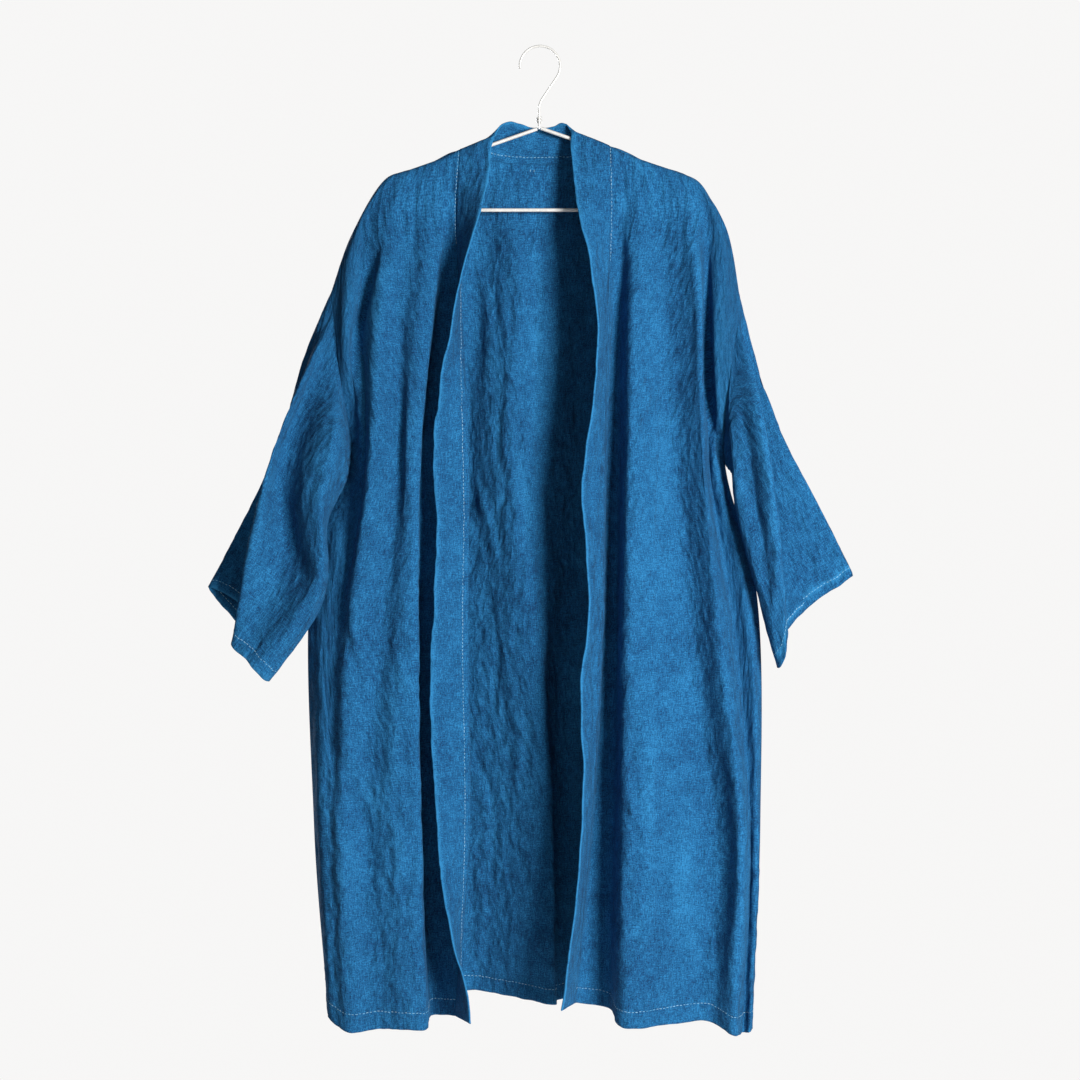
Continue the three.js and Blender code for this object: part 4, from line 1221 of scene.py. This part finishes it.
def finishWire(wire, *nodes):
    bpy.ops.mesh.select_all(action="SELECT")
    bpy.ops.mesh.remove_doubles(threshold=weldReach)
    bpy.ops.mesh.normals_make_consistent(inside=False)
    bpy.ops.object.mode_set(mode="OBJECT")
    bpy.ops.object.shade_smooth_by_angle(angle=math.radians(50))
    wire.data.materials.clear()
    wire.data.materials.append(steel)
    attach(wire, "root")
    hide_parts(*nodes)
    return wire


def bentHook():
    # from its open end over the nail, back through the reverse bend and down the stem
    radius, wireRadius = hangerShape["hookRadius"], hangerShape["hookWireRadius"]
    centreZ = wireRadius - radius
    opening = math.radians(hangerShape["hookOpening"])
    x, z = radius * math.cos(opening), centreZ + radius * math.sin(opening)
    wire = startWire("hanger_hook", wireRadius, x, z, hangerShape["hookOpening"] - 90)
    drawBend(0, centreZ, -hangerShape["hookSweep"])
    leaving = hangerShape["hookOpening"] - hangerShape["hookSweep"]
    x = radius * math.cos(math.radians(leaving))
    z = centreZ + radius * math.sin(math.radians(leaving))
    # a straight and an arc that end on the stem's line, heading straight down
    heading = leaving - 90
    turn = -90 - heading
    reverse = hangerShape["reverseRadius"]
    straight = (x - hangerShape["stemPlace"] - reverse * (1 - math.cos(math.radians(turn)))) / math.sin(
        math.radians(turn))
    drawStraight(straight, heading)
    x += straight * math.cos(math.radians(heading))
    z += straight * math.sin(math.radians(heading))
    drawBend(hangerShape["stemPlace"] + reverse, z - reverse * math.sin(math.radians(turn)), turn)
    z -= reverse * math.sin(math.radians(turn))
    drawStraight(z - hangerShape["armStart"] + hangerShape["stemBelowArms"], -90)
    return finishWire(wire, "hanger_hook")


def bentArm(side):
    # down from the stem, round the corner and along the bar to its middle
    slope = math.degrees(math.atan(hangerShape["armSlope"]))
    radius, reach = hangerShape["cornerRadius"], hangerShape["armReach"] + hangerShape["cornerOut"]
    beside = hangerShape["hookWireRadius"] + hangerShape["wireGap"]
    start = (beside + hangerShape["wireRadius"] * math.sin(math.radians(slope))
             + hangerShape["stemPlace"] * side)
    topZ = hangerShape["armStart"] - hangerShape["armSlope"] * start
    cornerZ = (hangerShape["armStart"] - hangerShape["armSlope"] * reach
               - radius * math.hypot(1, hangerShape["armSlope"]))
    name = "hanger_arm_" + ("left" if side > 0 else "right")
    heading = -slope if side > 0 else 180 + slope
    wire = startWire(name, hangerShape["wireRadius"], start * side, topZ, heading)
    bendX = reach + radius * math.sin(math.radians(slope))
    drawStraight((bendX - start) / math.cos(math.radians(slope)), heading)
    drawBend(reach * side, cornerZ, -(180 - slope) * side)
    drawStraight(reach - hangerShape["barPart"], 180 if side > 0 else 0)
    return finishWire(wire, name, *(["hanger_bar"] if side > 0 else []))


def woundTwist():
    # the arm's own wire wound round the stem
    size = hangerShape["twistWire"]
    radius = hangerShape["hookWireRadius"] + hangerShape["wireGap"] + size
    bpy.ops.object.select_all(action="DESELECT")
    bpy.ops.mesh.primitive_circle_add(vertices=10, radius=size * mm, rotation=(math.pi / 2, 0, 0),
                                      location=(radius * mm, 0, 0))
    wire = bpy.context.active_object
    wire.name = "hanger_twist"
    bpy.ops.object.transform_apply(location=True, rotation=True, scale=True)
    winding = wire.modifiers.new("winding", "SCREW")
    winding.screw_offset = hangerShape["twistPitch"] * mm
    winding.iterations = hangerShape["twistTurns"]
    winding.steps = winding.render_steps = 16
    bpy.ops.object.modifier_apply(modifier="winding")
    bpy.ops.object.mode_set(mode="EDIT")
    bpy.ops.mesh.select_all(action="SELECT")
    bpy.ops.transform.translate(value=(hangerShape["stemPlace"] * mm, 0,
                                       (hangerShape["armStart"] + hangerShape["twistLow"]) * mm))
    bpy.ops.mesh.select_all(action="DESELECT")
    bpy.ops.mesh.select_non_manifold()
    bpy.ops.mesh.fill()
    return finishWire(wire, "hanger_twist")


bentHook()
woundTwist()
bentArm(1)
bentArm(-1)
print("hanger bent")


studio = {
    "floor": -1.75,
    "cameraPlace": (0.0, -2.6, -0.5916),
    "lens": 72.2,
    "lamps": [              # name, place, size, power, colour
        ("window light", (1.52, -2.28, -0.32), 0.8, 166, (1.0, 0.97, 0.93)),
        ("soft fill", (-0.6, -3.2, 0.6), 2.2, 18, (0.92, 0.96, 1.0)),
        ("light behind", (-1.1, 2.6, 0.1), 1.4, 105, (0.96, 0.98, 1.0)),
    ],
    "lampsFace": (0, 0, -0.6),
    "wall": (0.93, 0.925, 0.92),
    "skyTint": (0.9, 0.95, 1.0),
    "ambient": 0.085,
}


def aim(thing, target):
    direction = np.array(target) - np.array(thing.location)
    thing.rotation_euler = (math.atan2(math.hypot(direction[0], direction[1]), -direction[2]), 0,
                            math.atan2(-direction[0], direction[1]))


def areaLight(name, place, size, power, colour):
    light = bpy.data.lights.new(name, "AREA")
    light.size = size
    light.energy = power
    light.color = colour
    lamp = bpy.data.objects.new(name, light)
    lamp.location = place
    aim(lamp, studio["lampsFace"])
    bpy.context.collection.objects.link(lamp)


for lamp in studio["lamps"]:
    areaLight(*lamp)
world = bpy.data.worlds.new("pale room")
bpy.context.scene.world = world
world.use_nodes = True
air = world.node_tree
seen = addNode(air, "ShaderNodeBackground", (0, 200))
seen.inputs["Color"].default_value = (*studio["wall"], 1)
lit = addNode(air, "ShaderNodeBackground", (0, 0))
lit.inputs["Color"].default_value = (*studio["skyTint"], 1)
lit.inputs["Strength"].default_value = studio["ambient"]
rays = addNode(air, "ShaderNodeLightPath", (0, 500))
pick = addNode(air, "ShaderNodeMixShader", (300, 200))
air.links.new(rays.outputs["Is Camera Ray"], pick.inputs[0])
air.links.new(lit.outputs[0], pick.inputs[1])
air.links.new(seen.outputs[0], pick.inputs[2])
air.links.new(pick.outputs[0], air.nodes["World Output"].inputs[0])

bpy.ops.object.select_all(action="DESELECT")
bpy.ops.mesh.primitive_circle_add(vertices=96, radius=1.4, fill_type="NGON", location=(0, 0, studio["floor"]))
floor = bpy.context.active_object
floor.name = "floor"
floorPaint, paintTree, paintShader = newMaterial("pale floor")
paintShader.inputs["Base Color"].default_value = (0.8, 0.79, 0.77, 1)
paintShader.inputs["Roughness"].default_value = 0.8
floor.data.materials.append(floorPaint)

bpy.ops.object.camera_add(location=studio["cameraPlace"], rotation=(math.pi / 2, 0, 0))
camera = bpy.context.active_object
camera.data.lens = studio["lens"]
camera.data.sensor_width = 36
camera.data.clip_start = 0.05
bpy.context.scene.camera = camera
bpy.context.scene.view_settings.view_transform = "Standard"
print("studio ready")
